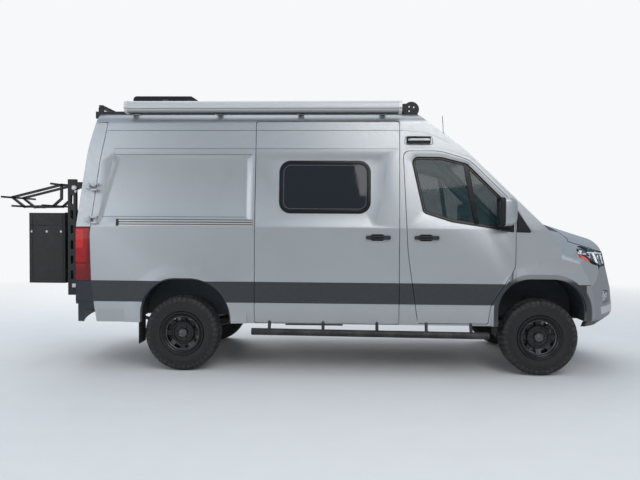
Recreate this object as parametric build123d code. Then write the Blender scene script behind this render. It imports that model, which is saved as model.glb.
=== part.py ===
from build123d import *
import math
import os

# Lengths are in millimetres. x is counted forward from the front axle, y to the left and z up from
# the ground. The whole model is moved at the end so that the frame origin lies under its middle.

# overall sizes
nose_x = 1004.0
wheelbase = 3665.0
rear_overhang = 1186.0
side_half = 1002.0
band_proud = 8.0
band_low_z = 717.0
band_high_z = 935.0
sill_z = 505.0
sill_inset = 17.0
belt_z = 1488.0
roof_inset = 140.0
roof_edge_z = 2672.0
roof_z = 2784.0
roof_crown_share = 0.76
shell_wall = 60.0
roof_wall = 45.0
nose_wall = 40.0
panel_gap = 6.0
glass_depth = 3.0
glass_thickness = 6.0
floor_low_z = 640.0
floor_top_z = 700.0
floor_front_x = 20.0
board_front_x = -1470.0
board_half = 680.0
board_thickness = 12.0

# running gear sizes
tyre_radius = 388.0
tyre_width = 245.0
rim_radius = 222.0
wheel_y = 866.0
kingpin_y = 800.0
hub_face_y = 912.0
wheel_plate = 50.0
spoke_count = 8
lug_count = 6
lug_circle = 65.0

# bolt holes for a tow bar in the rear beam
tow_bolt_wide = 200.0
tow_bolt_high = 60.0
tow_bolt_radius = 6.5

# hinges
hinge_play = 0.3
hinge_pin_radius = 5.0
pin_play = 0.05
cab_hinge_x = -296.0
cab_hinge_inset = 13.0
cab_hinge_levels = (1150, 1400)
rear_hinge_out = 25.0
rear_hinge_levels = (1560, 1900)
rear_barrel_radius = 13.0
bonnet_hinge_x = 150.0
bonnet_hinge_z = 1510.0

# pressings and swellings of the side
pressing_start = 2.0
quarter_depth = 16.0
middle_depth = 7.0
window_bevel = 36.0
window_bevel_depth = 5.0
crease_width = 7.0
crease_depth = 3.0
flare_height = 12.0
flare_lip = 45.0
flare_reach = 175.0

# places that follow from the sizes above
rear_axle_x = -wheelbase
rear_face_x = rear_axle_x - rear_overhang
roof_edge_half = side_half - roof_inset
floor_half = side_half - shell_wall
floor_rear_x = rear_face_x + 151
board_rear_x = rear_face_x + 311
wheel_seat_y = hub_face_y - wheel_plate
cab_hinge_y = side_half - cab_hinge_inset
rear_hinge_x = rear_face_x + 240
rear_hinge_y = side_half + rear_hinge_out
side_lean = math.atan2(roof_inset, roof_edge_z - belt_z)
side_slope = math.tan(side_lean)

# outlines seen from the side, as x and z
cab_door_outline = [
    (-1234, 528), (-530, 528), (-505, 720), (-262, 1098), (-262, 1449),
    (-290, 1760), (-720, 2190), (-1010, 2282), (-1388, 2282), (-1340, 1260),
]
cab_door_radii = [20, 20, 200, 200, 400, 120, 250, 500, 60, 2500]
cab_window_outline = [
    (-1185, 1650), (-900, 1560), (-345, 1475), (-332, 1735), (-745, 2152), (-1000, 2218), (-1310, 2222),
]
cab_window_radii = [60, 300, 50, 60, 120, 300, 60]
slide_front_x = -1430.0
slide_rear_x = rear_axle_x + 760
slide_low_z = 513.0
slide_high_z = 2590.0
side_window_front_x = -1740.0
side_window_rear_x = slide_rear_x + 262
side_window_low_z = 1656.0
side_window_high_z = 2163.0
side_window_radius = 100.0
front_arch_outline = [(-432, 300), (446, 300), (446, 988), (-432, 988)]
front_arch_radii = [0, 0, 330, 330]
rear_arch_outline = [
    (rear_axle_x - 425, 300), (rear_axle_x + 515, 300), (rear_axle_x + 480, 953), (rear_axle_x - 425, 953),
]
rear_arch_radii = [0, 0, 400, 360]

# outer limits of every cutting prism, well clear of the body
front_end = 1300.0
rear_end = rear_face_x - 250
side_end = side_half + 100
ground_end = 200.0


def moved_in(points, depth):
    """Outline of the same shape, moved in by depth on every side (points run counter-clockwise)."""
    result = []
    count = len(points)
    for index in range(count):
        x0, y0 = points[index - 1]
        x1, y1 = points[index]
        x2, y2 = points[(index + 1) % count]
        first = math.hypot(x1 - x0, y1 - y0)
        second = math.hypot(x2 - x1, y2 - y1)
        ax = x1 - (y1 - y0) / first * depth
        ay = y1 + (x1 - x0) / first * depth
        bx = x1 - (y2 - y1) / second * depth
        by = y1 + (x2 - x1) / second * depth
        cross = (x1 - x0) * (y2 - y1) - (y1 - y0) * (x2 - x1)
        step = ((bx - ax) * (y2 - y1) - (by - ay) * (x2 - x1)) / cross
        result.append((ax + (x1 - x0) * step, ay + (y1 - y0) * step))
    return result


def grown(radii, amount):
    return [radius + amount if radius else 0 for radius in radii]


def strip_outline(points, width):
    """Outline of a strip of even width along a line of points."""
    sides = []
    last = len(points) - 1
    for side in (1, -1):
        line = []
        for index, (x, y) in enumerate(points):
            x0, y0 = points[max(index - 1, 0)]
            x1, y1 = points[min(index + 1, last)]
            length = math.hypot(x1 - x0, y1 - y0)
            line.append((x - side * (y1 - y0) / length * width / 2, y + side * (x1 - x0) / length * width / 2))
        sides.append(line)
    return sides[0] + sides[1][::-1]


def outline_face(points, radii):
    return make_face(FilletPolyline(*points, radius=radii, close=True))


def side_prism(points, radii, low_y, high_y):
    plane = Plane(origin=(0, high_y, 0), x_dir=(1, 0, 0), z_dir=(0, -1, 0))
    return extrude(plane * outline_face(points, radii), amount=high_y - low_y)


def front_prism(points, radii, low_x, high_x):
    plane = Plane(origin=(low_x, 0, 0), x_dir=(0, 1, 0), z_dir=(1, 0, 0))
    return extrude(plane * outline_face(points, radii), amount=high_x - low_x)


def plan_prism(points, radii, low_z, high_z):
    return extrude(Plane(origin=(0, 0, low_z)) * outline_face(points, radii), amount=high_z - low_z)


def block(x0, x1, y0, y1, z0, z1):
    return Pos((x0 + x1) / 2, (y0 + y1) / 2, (z0 + z1) / 2) * Box(x1 - x0, y1 - y0, z1 - z0)


def rod_x(y, z, radius, x0, x1):
    return Pos((x0 + x1) / 2, y, z) * Rot(0, 90, 0) * Cylinder(radius, x1 - x0)


def rod_y(x, z, radius, y0, y1):
    return Pos(x, (y0 + y1) / 2, z) * Rot(90, 0, 0) * Cylinder(radius, y1 - y0)


def rod_z(x, y, radius, z0, z1):
    return Pos(x, y, (z0 + z1) / 2) * Cylinder(radius, z1 - z0)


def rod_between(start, end, radius):
    path = Line(start, end)
    plane = Plane(origin=path @ 0, z_dir=path % 0)
    return extrude(plane * Circle(radius), amount=path.length)


def mirrored(shape):
    return mirror(shape, about=Plane.XZ)


def solids_of(*shapes):
    result = []
    for shape in shapes:
        result.extend(shape.solids())
    return result


def both_ways(half):
    return half + [(-y, z) for y, z in half[-2::-1]]


def both_radii(half):
    return half + half[-2::-1]


def crown_radius(half_width, rise):
    """Radius that rounds the top of a section over a fixed share of its slope."""
    length = math.hypot(half_width, rise)
    return roof_crown_share * length / math.tan(math.atan2(rise, half_width))


def turned_body(points, radii, axis_x, to_rear=False):
    """Body of revolution about an upright line at axis_x, from an outline of x and z."""
    sign = -1 if to_rear else 1
    local = [(sign * (x - axis_x), z) for x, z in points]
    plane = Plane(origin=(axis_x, 0, 0), x_dir=(-sign, 0, 0), z_dir=(0, sign, 0))
    return revolve(plane * outline_face(local, radii), axis=Axis((axis_x, 0, 0), (0, 0, 1)))


# cross-section of the body
band_half = side_half + band_proud
section_half = [
    (side_half - sill_inset, sill_z), (side_half, floor_low_z), (side_half, band_low_z),
    (band_half, band_low_z + 4), (band_half, band_high_z - 4), (side_half, band_high_z),
    (side_half, belt_z), (roof_edge_half, roof_edge_z), (0, roof_z),
]
outer_crown = crown_radius(roof_edge_half, roof_z - roof_edge_z)
section_radii = [0, 300, 0, 0, 0, 0, 80, 140, outer_crown]
plain_half = [
    (side_half, ground_end), (side_half, belt_z), (roof_edge_half, roof_edge_z), (0, roof_z),
]
plain_radii = [0, 80, 140, outer_crown]


def plain_section(depth):
    points = moved_in(both_ways(plain_half), depth)
    return front_prism(points, both_radii(plain_radii), rear_end, front_end)


def hollow_section():
    half = [
        (side_half - shell_wall, ground_end), (side_half - shell_wall, belt_z - 10),
        (roof_edge_half - shell_wall, roof_edge_z - roof_wall), (0, roof_z - roof_wall),
    ]
    crown = crown_radius(half[2][0], half[3][1] - half[2][1])
    return front_prism(both_ways(half), both_radii([0, 80, 90, crown]), rear_end, front_end)


def skin_layer(depth):
    """Thin layer just under the side and roof."""
    return plain_section(-1) - plain_section(depth)


# windscreen and forehead, turned about an upright line
screen_radius = 3500.0
screen_base_x = 92.0
screen_base_z = 1597.0
screen_slope = 1.008
screen_axis_x = screen_base_x - screen_radius
screen_foot_x = 330.0
screen_foot_z = screen_base_z - (screen_foot_x - screen_base_x) * screen_slope
screen_points = [
    (screen_foot_x, ground_end), (screen_foot_x, screen_foot_z), (-616, 2307), (-1236, roof_z + 8),
]


def screen_body(depth):
    points = [(screen_axis_x, ground_end)] + screen_points + [(screen_axis_x, roof_z + 8)]
    inner = moved_in(points, depth) if depth else points
    inner[0] = (screen_axis_x, ground_end)
    inner[-1] = (screen_axis_x, inner[-2][1])
    return turned_body(inner, [0, 0, 0, 2500, 600, 0], screen_axis_x)


# rear face, turned about an upright line
rear_radius = 6000.0
rear_axis_x = rear_face_x + rear_radius


def rear_body(depth):
    points = [
        (rear_axis_x, roof_z + 8), (rear_face_x + 251, roof_z + 8), (rear_face_x + 111, 2330),
        (rear_face_x, belt_z - 8), (rear_face_x, ground_end), (rear_axis_x, ground_end),
    ]
    inner = moved_in(points, depth) if depth else points
    inner[0] = (rear_axis_x, inner[1][1])
    inner[-1] = (rear_axis_x, ground_end)
    inner[-2] = (inner[-2][0], ground_end)
    return turned_body(inner, [0, 180, 2000, 1500, 0, 0], rear_axis_x, to_rear=True)


# nose, turned about an upright line, under a crowned bonnet
nose_radius = 1300.0
nose_axis_x = nose_x - nose_radius
nose_low_z = 440.0
bonnet_slope = 0.333
nose_points = [
    (nose_x - 354, nose_low_z), (nose_x - 119, sill_z), (nose_x, 600), (nose_x - 24, 860),
    (nose_x - 79, 1110), (nose_x - 134, 1345),
]
bonnet_front_x, bonnet_front_z = nose_points[-1]
bonnet_top_z = bonnet_front_z + (bonnet_front_x - nose_axis_x) * bonnet_slope


def nose_body(depth):
    points = [(nose_axis_x, nose_low_z)] + nose_points + [(nose_axis_x, bonnet_top_z)]
    inner = moved_in(points, depth) if depth else points
    inner[0] = (nose_axis_x, ground_end if depth else nose_low_z)
    if depth:
        inner[1] = (inner[1][0], ground_end)
    last_x, last_z = inner[-2]
    inner[-1] = (nose_axis_x, last_z + (last_x - nose_axis_x) * bonnet_slope)
    return turned_body(inner, [0, 20, 60, 90, 300, 300, 250 - depth, 0], nose_axis_x)


def nose_arch(depth):
    """Crown and shoulders of the nose, sloping down forward."""
    half = [(side_half, -1500), (side_half, -330), (side_half - 302, -90), (0, 60)]
    points = moved_in(both_ways(half), depth) if depth else both_ways(half)
    start_x = nose_axis_x - 124
    start_z = bonnet_front_z + (bonnet_front_x - start_x) * bonnet_slope
    plane = Plane(origin=(start_x, 0, start_z), x_dir=(0, 1, 0), z_dir=(1, 0, 0))
    face = plane * outline_face(points, both_radii([0, 120, 400, 0]))
    length = 1500 * math.hypot(1, bonnet_slope)
    return extrude(face, amount=length, dir=Vector(1, 0, -bonnet_slope))


# pressings and creases of the right side
lean_plane = Plane(
    origin=(0, -side_half, belt_z), x_dir=(1, 0, 0), z_dir=(0, -math.cos(side_lean), math.sin(side_lean)))


def on_lean(points):
    return [(x, (z - belt_z) / math.cos(side_lean)) for x, z in points]


def pressing(rim, rim_radii, floor, floor_radii, depth):
    """Shallow recess with slanted walls in the leaning part of the side."""
    rim_face = lean_plane.offset(pressing_start) * outline_face(on_lean(rim), rim_radii)
    floor_face = lean_plane.offset(-depth) * outline_face(on_lean(floor), floor_radii)
    return loft([rim_face, floor_face], ruled=True)


pressing_top_z = 2242.0
pressing_low_z = 1505.0
quarter_front_x = slide_rear_x - 30
quarter_rim = [
    (rear_face_x + 295, pressing_low_z), (quarter_front_x, pressing_low_z),
    (quarter_front_x, pressing_top_z), (rear_face_x + 448, pressing_top_z),
]
quarter_floor = [
    (rear_face_x + 345, 1598), (quarter_front_x - 60, 1598),
    (quarter_front_x - 60, 2202), (rear_face_x + 481, 2202),
]
quarter_pressing = pressing(quarter_rim, 30, quarter_floor, [20, 12, 12, 60], quarter_depth)
middle_rear_x = slide_rear_x - panel_gap / 2
middle_rim = [
    (middle_rear_x, pressing_low_z), (-1660, pressing_low_z), (-1568, 1880), (-1542, pressing_top_z),
    (middle_rear_x, pressing_top_z),
]
middle_floor = [
    (middle_rear_x, pressing_low_z + 25), (-1695, pressing_low_z + 25), (-1604, 1880),
    (-1579, pressing_top_z - 25), (middle_rear_x, pressing_top_z - 25),
]
middle_pressing = pressing(middle_rim, [0, 40, 900, 55, 0], middle_floor, [0, 40, 900, 45, 0], middle_depth)
window_rim = moved_in(cab_window_outline, -window_bevel)
window_floor = moved_in(cab_window_outline, -panel_gap)
window_pressing = pressing(
    window_rim, grown(cab_window_radii, window_bevel), window_floor, grown(cab_window_radii, panel_gap),
    window_bevel_depth)
side_skin = skin_layer(crease_depth)
upper_crease = side_prism(
    strip_outline([(-924, 2366), (-1049, 2434), (-1195, 2477), (-1400, 2497), (rear_face_x + 420, 2497)],
                  crease_width), 0, -side_end, -roof_edge_half / 2)
lower_crease = side_prism(
    strip_outline([(-1440, 2305), (rear_face_x + 470, 2305)], crease_width), 0, -side_end, -roof_edge_half / 2)
pillar_seam = side_prism(
    moved_in(cab_door_outline, -38), grown(cab_door_radii, 38), -side_end, -roof_edge_half / 2)
pillar_seam = pillar_seam - side_prism(
    moved_in(cab_door_outline, -38 + crease_width), grown(cab_door_radii, 38 - crease_width), -side_end, 0)
pillar_seam = pillar_seam & block(-1420, 0, -side_end, 0, 1790, 2400)
creases = side_skin & (upper_crease + lower_crease + pillar_seam)


def flare(outline, radii, rear_reach):
    """Swelling of the body side round a wheel arch, with a flat lip at the opening."""
    def reach_outline(share):
        rear = flare_lip + (rear_reach - flare_lip) * share
        front = flare_lip + (flare_reach - flare_lip) * share
        (x0, z0), (x1, z1), (x2, z2), (x3, z3) = outline
        points = [(x0 - rear, z0), (x1 + front, z1), (x2 + front, z2 + front), (x3 - rear, z3 + front)]
        return points, grown(radii, front)

    def section(share, y):
        plane = Plane(origin=(0, -y, 0), x_dir=(1, 0, 0), z_dir=(0, -1, 0))
        return plane * outline_face(*reach_outline(share))

    root = side_prism(*reach_outline(1), -side_half + 0.5, -side_half + 200)
    swell = loft([
        section(1, side_half - 0.5), section(0.35, side_half + flare_height * 0.6),
        section(0, side_half + flare_height),
    ], ruled=True)
    return (root + swell) & block(rear_end, front_end, -side_end, 0, sill_z, belt_z)


body_section = front_prism(both_ways(section_half), both_radii(section_radii), rear_end, front_end)
cabin_outer = body_section & screen_body(0) & rear_body(0)
front_flare = flare(front_arch_outline, front_arch_radii, 60) & nose_body(-flare_height)
rear_flare = flare(rear_arch_outline, rear_arch_radii, flare_reach)
for swelling in (front_flare, rear_flare):
    cabin_outer = cabin_outer + swelling + mirrored(swelling)
for recess in (quarter_pressing, middle_pressing, window_pressing, creases):
    cabin_outer = cabin_outer - recess - mirrored(recess)
cabin_inner = hollow_section() & screen_body(nose_wall) & rear_body(shell_wall)
nose_outer = nose_arch(0) & nose_body(0) & plain_section(0)
nose_outer = nose_outer + front_flare + mirrored(front_flare)
nose_inner = nose_arch(nose_wall) & nose_body(nose_wall)
outer_body = cabin_outer + nose_outer
inner_body = cabin_inner + nose_inner
shell = outer_body - inner_body

nodes = {}
right_side = (-side_end - 300, -640)

# door handles
handle_z = 1396.0
handle_out = 30.0
grip_thickness = 15.0


def handle_cup(x):
    return side_prism(
        [(x - 80, handle_z - 34), (x + 60, handle_z - 34), (x + 60, handle_z + 34), (x - 80, handle_z + 34)],
        33, -side_end, -side_half + 12)


def handle_grip(x):
    """Pull grip on two feet, in front of its cup."""
    outline = [
        (x - 122, handle_z - 16), (x + 122, handle_z - 22), (x + 122, handle_z + 22), (x - 122, handle_z + 16),
    ]
    grip = side_prism(outline, 15, -side_half - handle_out, -side_half - handle_out + grip_thickness)
    for foot_x, half_width in ((x - 102, 14), (x + 98, 20)):
        grip = grip + block(foot_x - half_width, foot_x + half_width, -side_half - handle_out + 2,
                            -side_half + 4, handle_z - 13, handle_z + 13)
    return grip


# doors of the right side
cab_door_gap_prism = side_prism(moved_in(cab_door_outline, -panel_gap), cab_door_radii, *right_side)
cab_door_prism = side_prism(cab_door_outline, cab_door_radii, *right_side)
cab_window_prism = side_prism(cab_window_outline, cab_window_radii, *right_side)
slide_outline = [
    (slide_rear_x, slide_low_z), (slide_front_x, slide_low_z),
    (slide_front_x, slide_high_z), (slide_rear_x, slide_high_z),
]
side_window_outline = [
    (side_window_rear_x, side_window_low_z), (side_window_front_x, side_window_low_z),
    (side_window_front_x, side_window_high_z), (side_window_rear_x, side_window_high_z),
]
slide_prism = side_prism(slide_outline, 30, *right_side)
slide_gap_prism = side_prism(moved_in(slide_outline, -panel_gap), 30, *right_side)
side_window_prism = side_prism(side_window_outline, side_window_radius, *right_side)
side_glass_layer = plain_section(glass_depth) - plain_section(glass_depth + glass_thickness)
door_skin = cabin_outer - cabin_inner

cab_handle_x = -1153.0
cab_door_right = (door_skin & cab_door_prism) - cab_window_prism
cab_door_right = cab_door_right - handle_cup(cab_handle_x) + handle_grip(cab_handle_x)
for hinge_z in cab_hinge_levels:
    pocket = block(cab_hinge_x - 30, cab_hinge_x + 45, -cab_hinge_y - 8, -side_half + 102,
                   hinge_z - 40, hinge_z + 40)
    cab_door_right = cab_door_right - pocket
    for low, high in ((-50, -20 - hinge_play), (20 + hinge_play, 50)):
        cab_door_right = cab_door_right + rod_z(
            cab_hinge_x, -cab_hinge_y, hinge_pin_radius, hinge_z + low, hinge_z + high)
nodes["cab_door_right"] = solids_of(cab_door_right)
nodes["cab_door_left"] = solids_of(mirrored(cab_door_right))
door_glass_right = side_glass_layer & cab_window_prism
nodes["door_glass_right"] = solids_of(door_glass_right)
nodes["door_glass_left"] = solids_of(mirrored(door_glass_right))
slide_handle_x = slide_front_x - 213
sliding_door = (door_skin & slide_prism) - side_window_prism
sliding_door = sliding_door - handle_cup(slide_handle_x) + handle_grip(slide_handle_x)
nodes["sliding_door"] = solids_of(sliding_door)
side_glass = side_glass_layer & side_window_prism

# windscreen
screen_outline = [
    (-850, 1440), (-520, 1545), (0, 1625), (520, 1545), (850, 1440), (775, 2230), (690, 2300),
    (0, 2330), (-690, 2300), (-775, 2230),
]
screen_radii = [60, 800, 800, 800, 60, 90, 90, 3000, 90, 90]
screen_prism = front_prism(screen_outline, screen_radii, -1100, 400)
screen_glass = (body_section & screen_body(glass_depth)) - screen_body(glass_depth + glass_thickness)
screen_glass = screen_glass & screen_prism
nodes["fixed_glass"] = solids_of(screen_glass, side_glass, mirrored(side_glass))

# bonnet and the strip under the windscreen
bonnet_lift_outline = [(0, 1463), (640, 1275), (1100, 1240), (1100, 1900), (0, 1900)]
nose_skin = nose_outer - nose_inner
cowl_width = 80.0
cowl_half = 770.0
strip_zone = screen_body(panel_gap - cowl_width)
above_shut = side_prism(bonnet_lift_outline, 0, -side_end, side_end)
above_shut_gap = side_prism(moved_in(bonnet_lift_outline, -panel_gap), 0, -side_end, side_end)
bonnet = (nose_skin & above_shut) - screen_body(-cowl_width)
bonnet_layer = nose_arch(0) - nose_arch(crease_depth + 1)
bonnet_groove = plan_prism(
    strip_outline([(430, -560), (620, -470), (780, -330)], 16), 0, belt_z - 300, belt_z + 300)
bonnet_groove = bonnet_groove & bonnet_layer
bonnet = bonnet - bonnet_groove - mirrored(bonnet_groove)
bonnet_arm_outline = [
    (bonnet_hinge_x - 14, bonnet_hinge_z - 12), (335, 1462), (345, 1492), (bonnet_hinge_x, bonnet_hinge_z + 14),
]
bonnet_arm_y = 250.0
bonnet_arm = side_prism(bonnet_arm_outline, 8, bonnet_arm_y - 8, bonnet_arm_y + 8)
bonnet_arm = bonnet_arm - rod_y(bonnet_hinge_x, bonnet_hinge_z, hinge_pin_radius + pin_play, 200, 300)
bonnet = bonnet + bonnet_arm + mirrored(bonnet_arm)
nodes["bonnet"] = solids_of(bonnet)
bonnet_room = above_shut_gap - strip_zone
cowl_zone = block(-60, 500, -cowl_half, cowl_half, 1330, 1720)
cowl = (shell & cowl_zone & strip_zone) - screen_prism
hinge_slot = block(bonnet_hinge_x - 30, 400, bonnet_arm_y - 14, bonnet_arm_y + 24, 1380, 1650)
cowl = cowl - hinge_slot - mirrored(hinge_slot)
nodes["cowl"] = solids_of(cowl)

# headlamps, grille and front bumper share the nose shape
bumper_top_z = 1108.0
lamp_outline = [
    (395, 1205), (548, 1136), (660, bumper_top_z), (1100, bumper_top_z), (1100, 1229), (640, 1264), (366, 1347),
]
lamp_radii = [40, 60, 0, 0, 0, 0, 60]
lamp_prism = side_prism(lamp_outline, lamp_radii, -side_end, -470)
headlamp = (nose_skin & lamp_prism) - bonnet_room
nodes["headlamps"] = solids_of(headlamp, mirrored(headlamp))
grille_outline = [(-464, 890), (464, 890), (464, 1300), (-464, 1300)]
grille_prism = front_prism(grille_outline, [60, 60, 0, 0], 500, 1100)
grille = (nose_skin & grille_prism) - bonnet_room
slot_layer = nose_body(0) - nose_body(25)
slot_half = 400.0
slot_height = 60.0
grille_middle_z = 1040.0
for slot_z in (945, grille_middle_z, 1135):
    slot_outline = [
        (-slot_half, slot_z - slot_height / 2), (slot_half, slot_z - slot_height / 2),
        (slot_half, slot_z + slot_height / 2), (-slot_half, slot_z + slot_height / 2),
    ]
    grille = grille - (front_prism(slot_outline, 25, 500, 1100) & slot_layer)
boss = rod_x(0, grille_middle_z, 84, 500, 1100) & (nose_body(-6) - nose_body(30))
grille = grille + boss
for stay_y in (-270, -135, 135, 270):
    stay = block(500, 1100, stay_y - 7, stay_y + 7, 900, 1180) & (nose_body(10) - nose_body(30))
    grille = grille + stay
nodes["grille"] = solids_of(grille)
bumper_outline = [
    (446, 300), (1100, 300), (1100, bumper_top_z - panel_gap), (660, bumper_top_z - panel_gap),
    (565, 935), (446, 925),
]
bumper_radii = [0, 0, 0, 60, 120, 0]
intake_outline = [(-420, 580), (420, 580), (470, 760), (-470, 760)]
fog_outline = [(-865, 725), (-640, 740), (-655, 850), (-830, 872)]
front_bumper = (nose_skin & side_prism(bumper_outline, bumper_radii, -side_end, side_end)) - grille_prism
front_bumper = front_bumper - front_prism(intake_outline, 40, 500, 1100)
fog_pocket = front_prism(fog_outline, 25, 400, 1100) & slot_layer
front_bumper = front_bumper - fog_pocket - mirrored(fog_pocket)
nodes["front_bumper"] = solids_of(front_bumper)

# wings
front_arch = side_prism(front_arch_outline, front_arch_radii, -side_end, -400)
rear_arch = side_prism(rear_arch_outline, rear_arch_radii, -side_end, -640)
wing_rear_x = -530.0
wing_top_z = 1460.0
wing_zone = block(wing_rear_x, 640, -side_end, -480, 400, wing_top_z)
wing = (shell & wing_zone) - cab_door_gap_prism - front_arch - bonnet_room - cowl_zone
wing = wing - side_prism(bumper_outline, bumper_radii, -side_end, -400) - lamp_prism
wing = wing - rod_z(cab_hinge_x, -cab_hinge_y, cab_hinge_inset + panel_gap + 0.5, 960, 1090)
swing_room = rod_z(cab_hinge_x, -cab_hinge_y, 50, 900, 1100)
wing = wing - (swing_room & block(-400, 0, -side_end, -side_half, 900, 1100))
for hinge_z in cab_hinge_levels:
    barrel = rod_z(cab_hinge_x, -cab_hinge_y, 7, hinge_z - 20, hinge_z + 20)
    neck = block(cab_hinge_x - 5, cab_hinge_x + 5, -cab_hinge_y, -floor_half + 11, hinge_z - 20, hinge_z + 20)
    strap = block(cab_hinge_x - 5, cab_hinge_x + 110, -floor_half, -floor_half + 11, hinge_z - 20, hinge_z + 20)
    foot = block(cab_hinge_x + 46, cab_hinge_x + 110, -side_half + nose_wall - 2, -floor_half + 1,
                 hinge_z - 20, hinge_z + 20)
    wing = wing + barrel + neck + strap + foot
nodes["front_wings"] = solids_of(wing, mirrored(wing))

# side panels with their pillars
roof_split_y = roof_edge_half - 117
side_zone_outline = [
    (rear_face_x + 299, 480), (wing_rear_x, 480), (wing_rear_x, wing_top_z), (420, wing_top_z), (420, 2900),
    (rear_end, 2900), (rear_end, 2586), (rear_face_x + 385, 2586), (rear_face_x + 314, 2179),
    (rear_face_x + 231, 1400), (rear_face_x + 245, 930),
]
side_zone = side_prism(side_zone_outline, 0, -side_end - 300, -roof_split_y)
plain_side = (shell & side_zone) - cab_door_gap_prism - rear_arch - screen_prism - cowl_zone
for hinge_z in rear_hinge_levels:
    for low, high in ((-38, -20 - hinge_play), (20 + hinge_play, 38)):
        half = rod_z(rear_hinge_x, -rear_hinge_y, rear_barrel_radius, hinge_z + low, hinge_z + high)
        half = half + block(
            rear_hinge_x, rear_hinge_x + 75, -rear_hinge_y - 6, -rear_hinge_y + 6, hinge_z + low, hinge_z + high)
        foot = block(
            rear_hinge_x + 50, rear_hinge_x + 75, -rear_hinge_y, -side_half + 110, hinge_z + low, hinge_z + high)
        plain_side = plain_side + half + (foot - cabin_inner)

# track of the sliding door under the rear pressing
track_low_z = 1499.0
track_high_z = 1572.0
track_rear_x = rear_face_x + 505
track_front_x = quarter_front_x + 15
track_points = [
    (track_rear_x, track_low_z), (track_front_x, track_low_z),
    (track_front_x, track_high_z), (track_rear_x, track_high_z),
]
track = extrude(lean_plane.offset(-quarter_depth) * outline_face(on_lean(track_points), 0),
                amount=quarter_depth + 4)
slot_points = moved_in(track_points, 24)
track_slot = extrude(lean_plane.offset(-6) * outline_face(on_lean(slot_points), 0), amount=20)
side_right = (plain_side + track - track_slot) - slide_gap_prism
side_left = mirrored(plain_side - side_window_prism)
nodes["side_panels"] = solids_of(side_right, side_left)

# roof with the forehead over the windscreen
behind_gap_outline = [
    (rear_end - 100, 480), (rear_face_x + 299, 480), (rear_face_x + 245, 930), (rear_face_x + 231, 1400),
    (rear_face_x + 314, 2179), (rear_face_x + 385, 2586), (rear_end - 100, 2586),
]
behind_gap = side_prism(behind_gap_outline, 0, -side_end - 100, side_end + 100)
roof_zone = block(rear_end, -300, -roof_split_y, roof_split_y, 1950, 2900)
roof = (shell & roof_zone) - screen_prism - behind_gap
rib_half_width = 34.0
rib_first_x = -1420.0
rib_step = 340.0
rib_count = int((rib_first_x - rear_face_x - 400) / rib_step) + 1
rib_layer = skin_layer(crease_depth)
for index in range(rib_count):
    rib_x = rib_first_x - index * rib_step
    rib = block(rib_x - rib_half_width, rib_x + rib_half_width, -600, 600, roof_z - 150, roof_z + 50)
    roof = roof - (rib & rib_layer)
nodes["roof_panel"] = solids_of(roof)

# rear doors, lamps and bumper
door_low_z = 705.0
lamp_low_z = 925.0
lamp_high_z = 1484.0
lamp_reach = 200.0
rear_door_outline = [
    (rear_end - 100, door_low_z), (rear_face_x + 268, door_low_z), (rear_face_x + 239, 930),
    (rear_face_x + 225, 1400), (rear_face_x + 308, 2179), (rear_face_x + 378, 2580), (rear_end - 100, 2580),
]
rear_door_zone = side_prism(rear_door_outline, 0, -side_end - 100, -panel_gap / 2)
lamp_room = rod_z(rear_hinge_x, -rear_hinge_y, lamp_reach + panel_gap, 400, lamp_high_z + panel_gap)
rear_window_outline = [(-800, 1560), (-130, 1560), (-130, 2150), (-770, 2150)]
rear_window = front_prism(rear_window_outline, 80, rear_end, rear_face_x + 451)
rear_door = (door_skin & rear_door_zone) - lamp_room - rear_window
rear_glass = ((rear_body(glass_depth) - rear_body(glass_depth + glass_thickness)) & rear_window) & body_section
for hinge_z in rear_hinge_levels:
    arm_y = -(side_half - 40 - (hinge_z - belt_z) * side_slope)
    arm = block(rear_hinge_x - 60, rear_hinge_x - 12, -rear_hinge_y - 6, arm_y, hinge_z - 20, hinge_z + 20)
    barrel = rod_z(rear_hinge_x, -rear_hinge_y, rear_barrel_radius, hinge_z - 20, hinge_z + 20)
    link = block(rear_hinge_x - 30, rear_hinge_x, -rear_hinge_y - 6, -rear_hinge_y + 6,
                 hinge_z - 20, hinge_z + 20)
    rear_door = rear_door + (arm - cabin_inner) + barrel + link
nodes["rear_door_right"] = solids_of(rear_door)
rear_skin = rear_body(-1) - rear_body(8)
plate_recess = front_prism([(150, 900), (690, 900), (690, 1040), (150, 1040)], 20, rear_end, rear_face_x + 451)
latch_recess = front_prism([(40, 1080), (130, 1080), (130, 1260), (40, 1260)], 30, rear_end, rear_face_x + 451)
rear_door_left = mirrored(rear_door) - (rear_skin & (plate_recess + latch_recess))
nodes["rear_door_left"] = solids_of(rear_door_left)
nodes["rear_glass_right"] = solids_of(rear_glass)
nodes["rear_glass_left"] = solids_of(mirrored(rear_glass))
corner = door_skin & behind_gap & rod_z(rear_hinge_x, -rear_hinge_y, lamp_reach, 400, 1600)
corner_box = (rear_end - 100, rear_face_x + 451, -side_end - 100, -600)
tail_lamp = corner & block(*corner_box, lamp_low_z, lamp_high_z)
nodes["tail_lamps"] = solids_of(tail_lamp, mirrored(tail_lamp))
bumper_radius = 2816.0
bumper_x = rear_face_x - 77
bumper_axis_x = bumper_x + bumper_radius
bumper_disc = rod_z(bumper_axis_x, 0, bumper_radius, 400, 1200) - rod_z(
    bumper_axis_x, 0, bumper_radius - shell_wall, 400, floor_low_z)
bumper_bar = (body_section & bumper_disc & behind_gap & block(
    rear_end - 100, rear_face_x + 451, -side_end, side_end, 470, door_low_z - 7))
bumper_bar = bumper_bar - block(floor_rear_x, rear_face_x + 451, -820, 820, 400, 900)
bumper_bar = bumper_bar - block(floor_rear_x, rear_face_x + 451, -floor_half, floor_half, 600, 710)
bumper_corner = corner & block(*corner_box, 690, lamp_low_z)
rear_bumper = bumper_bar + bumper_corner + mirrored(bumper_corner)
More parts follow.
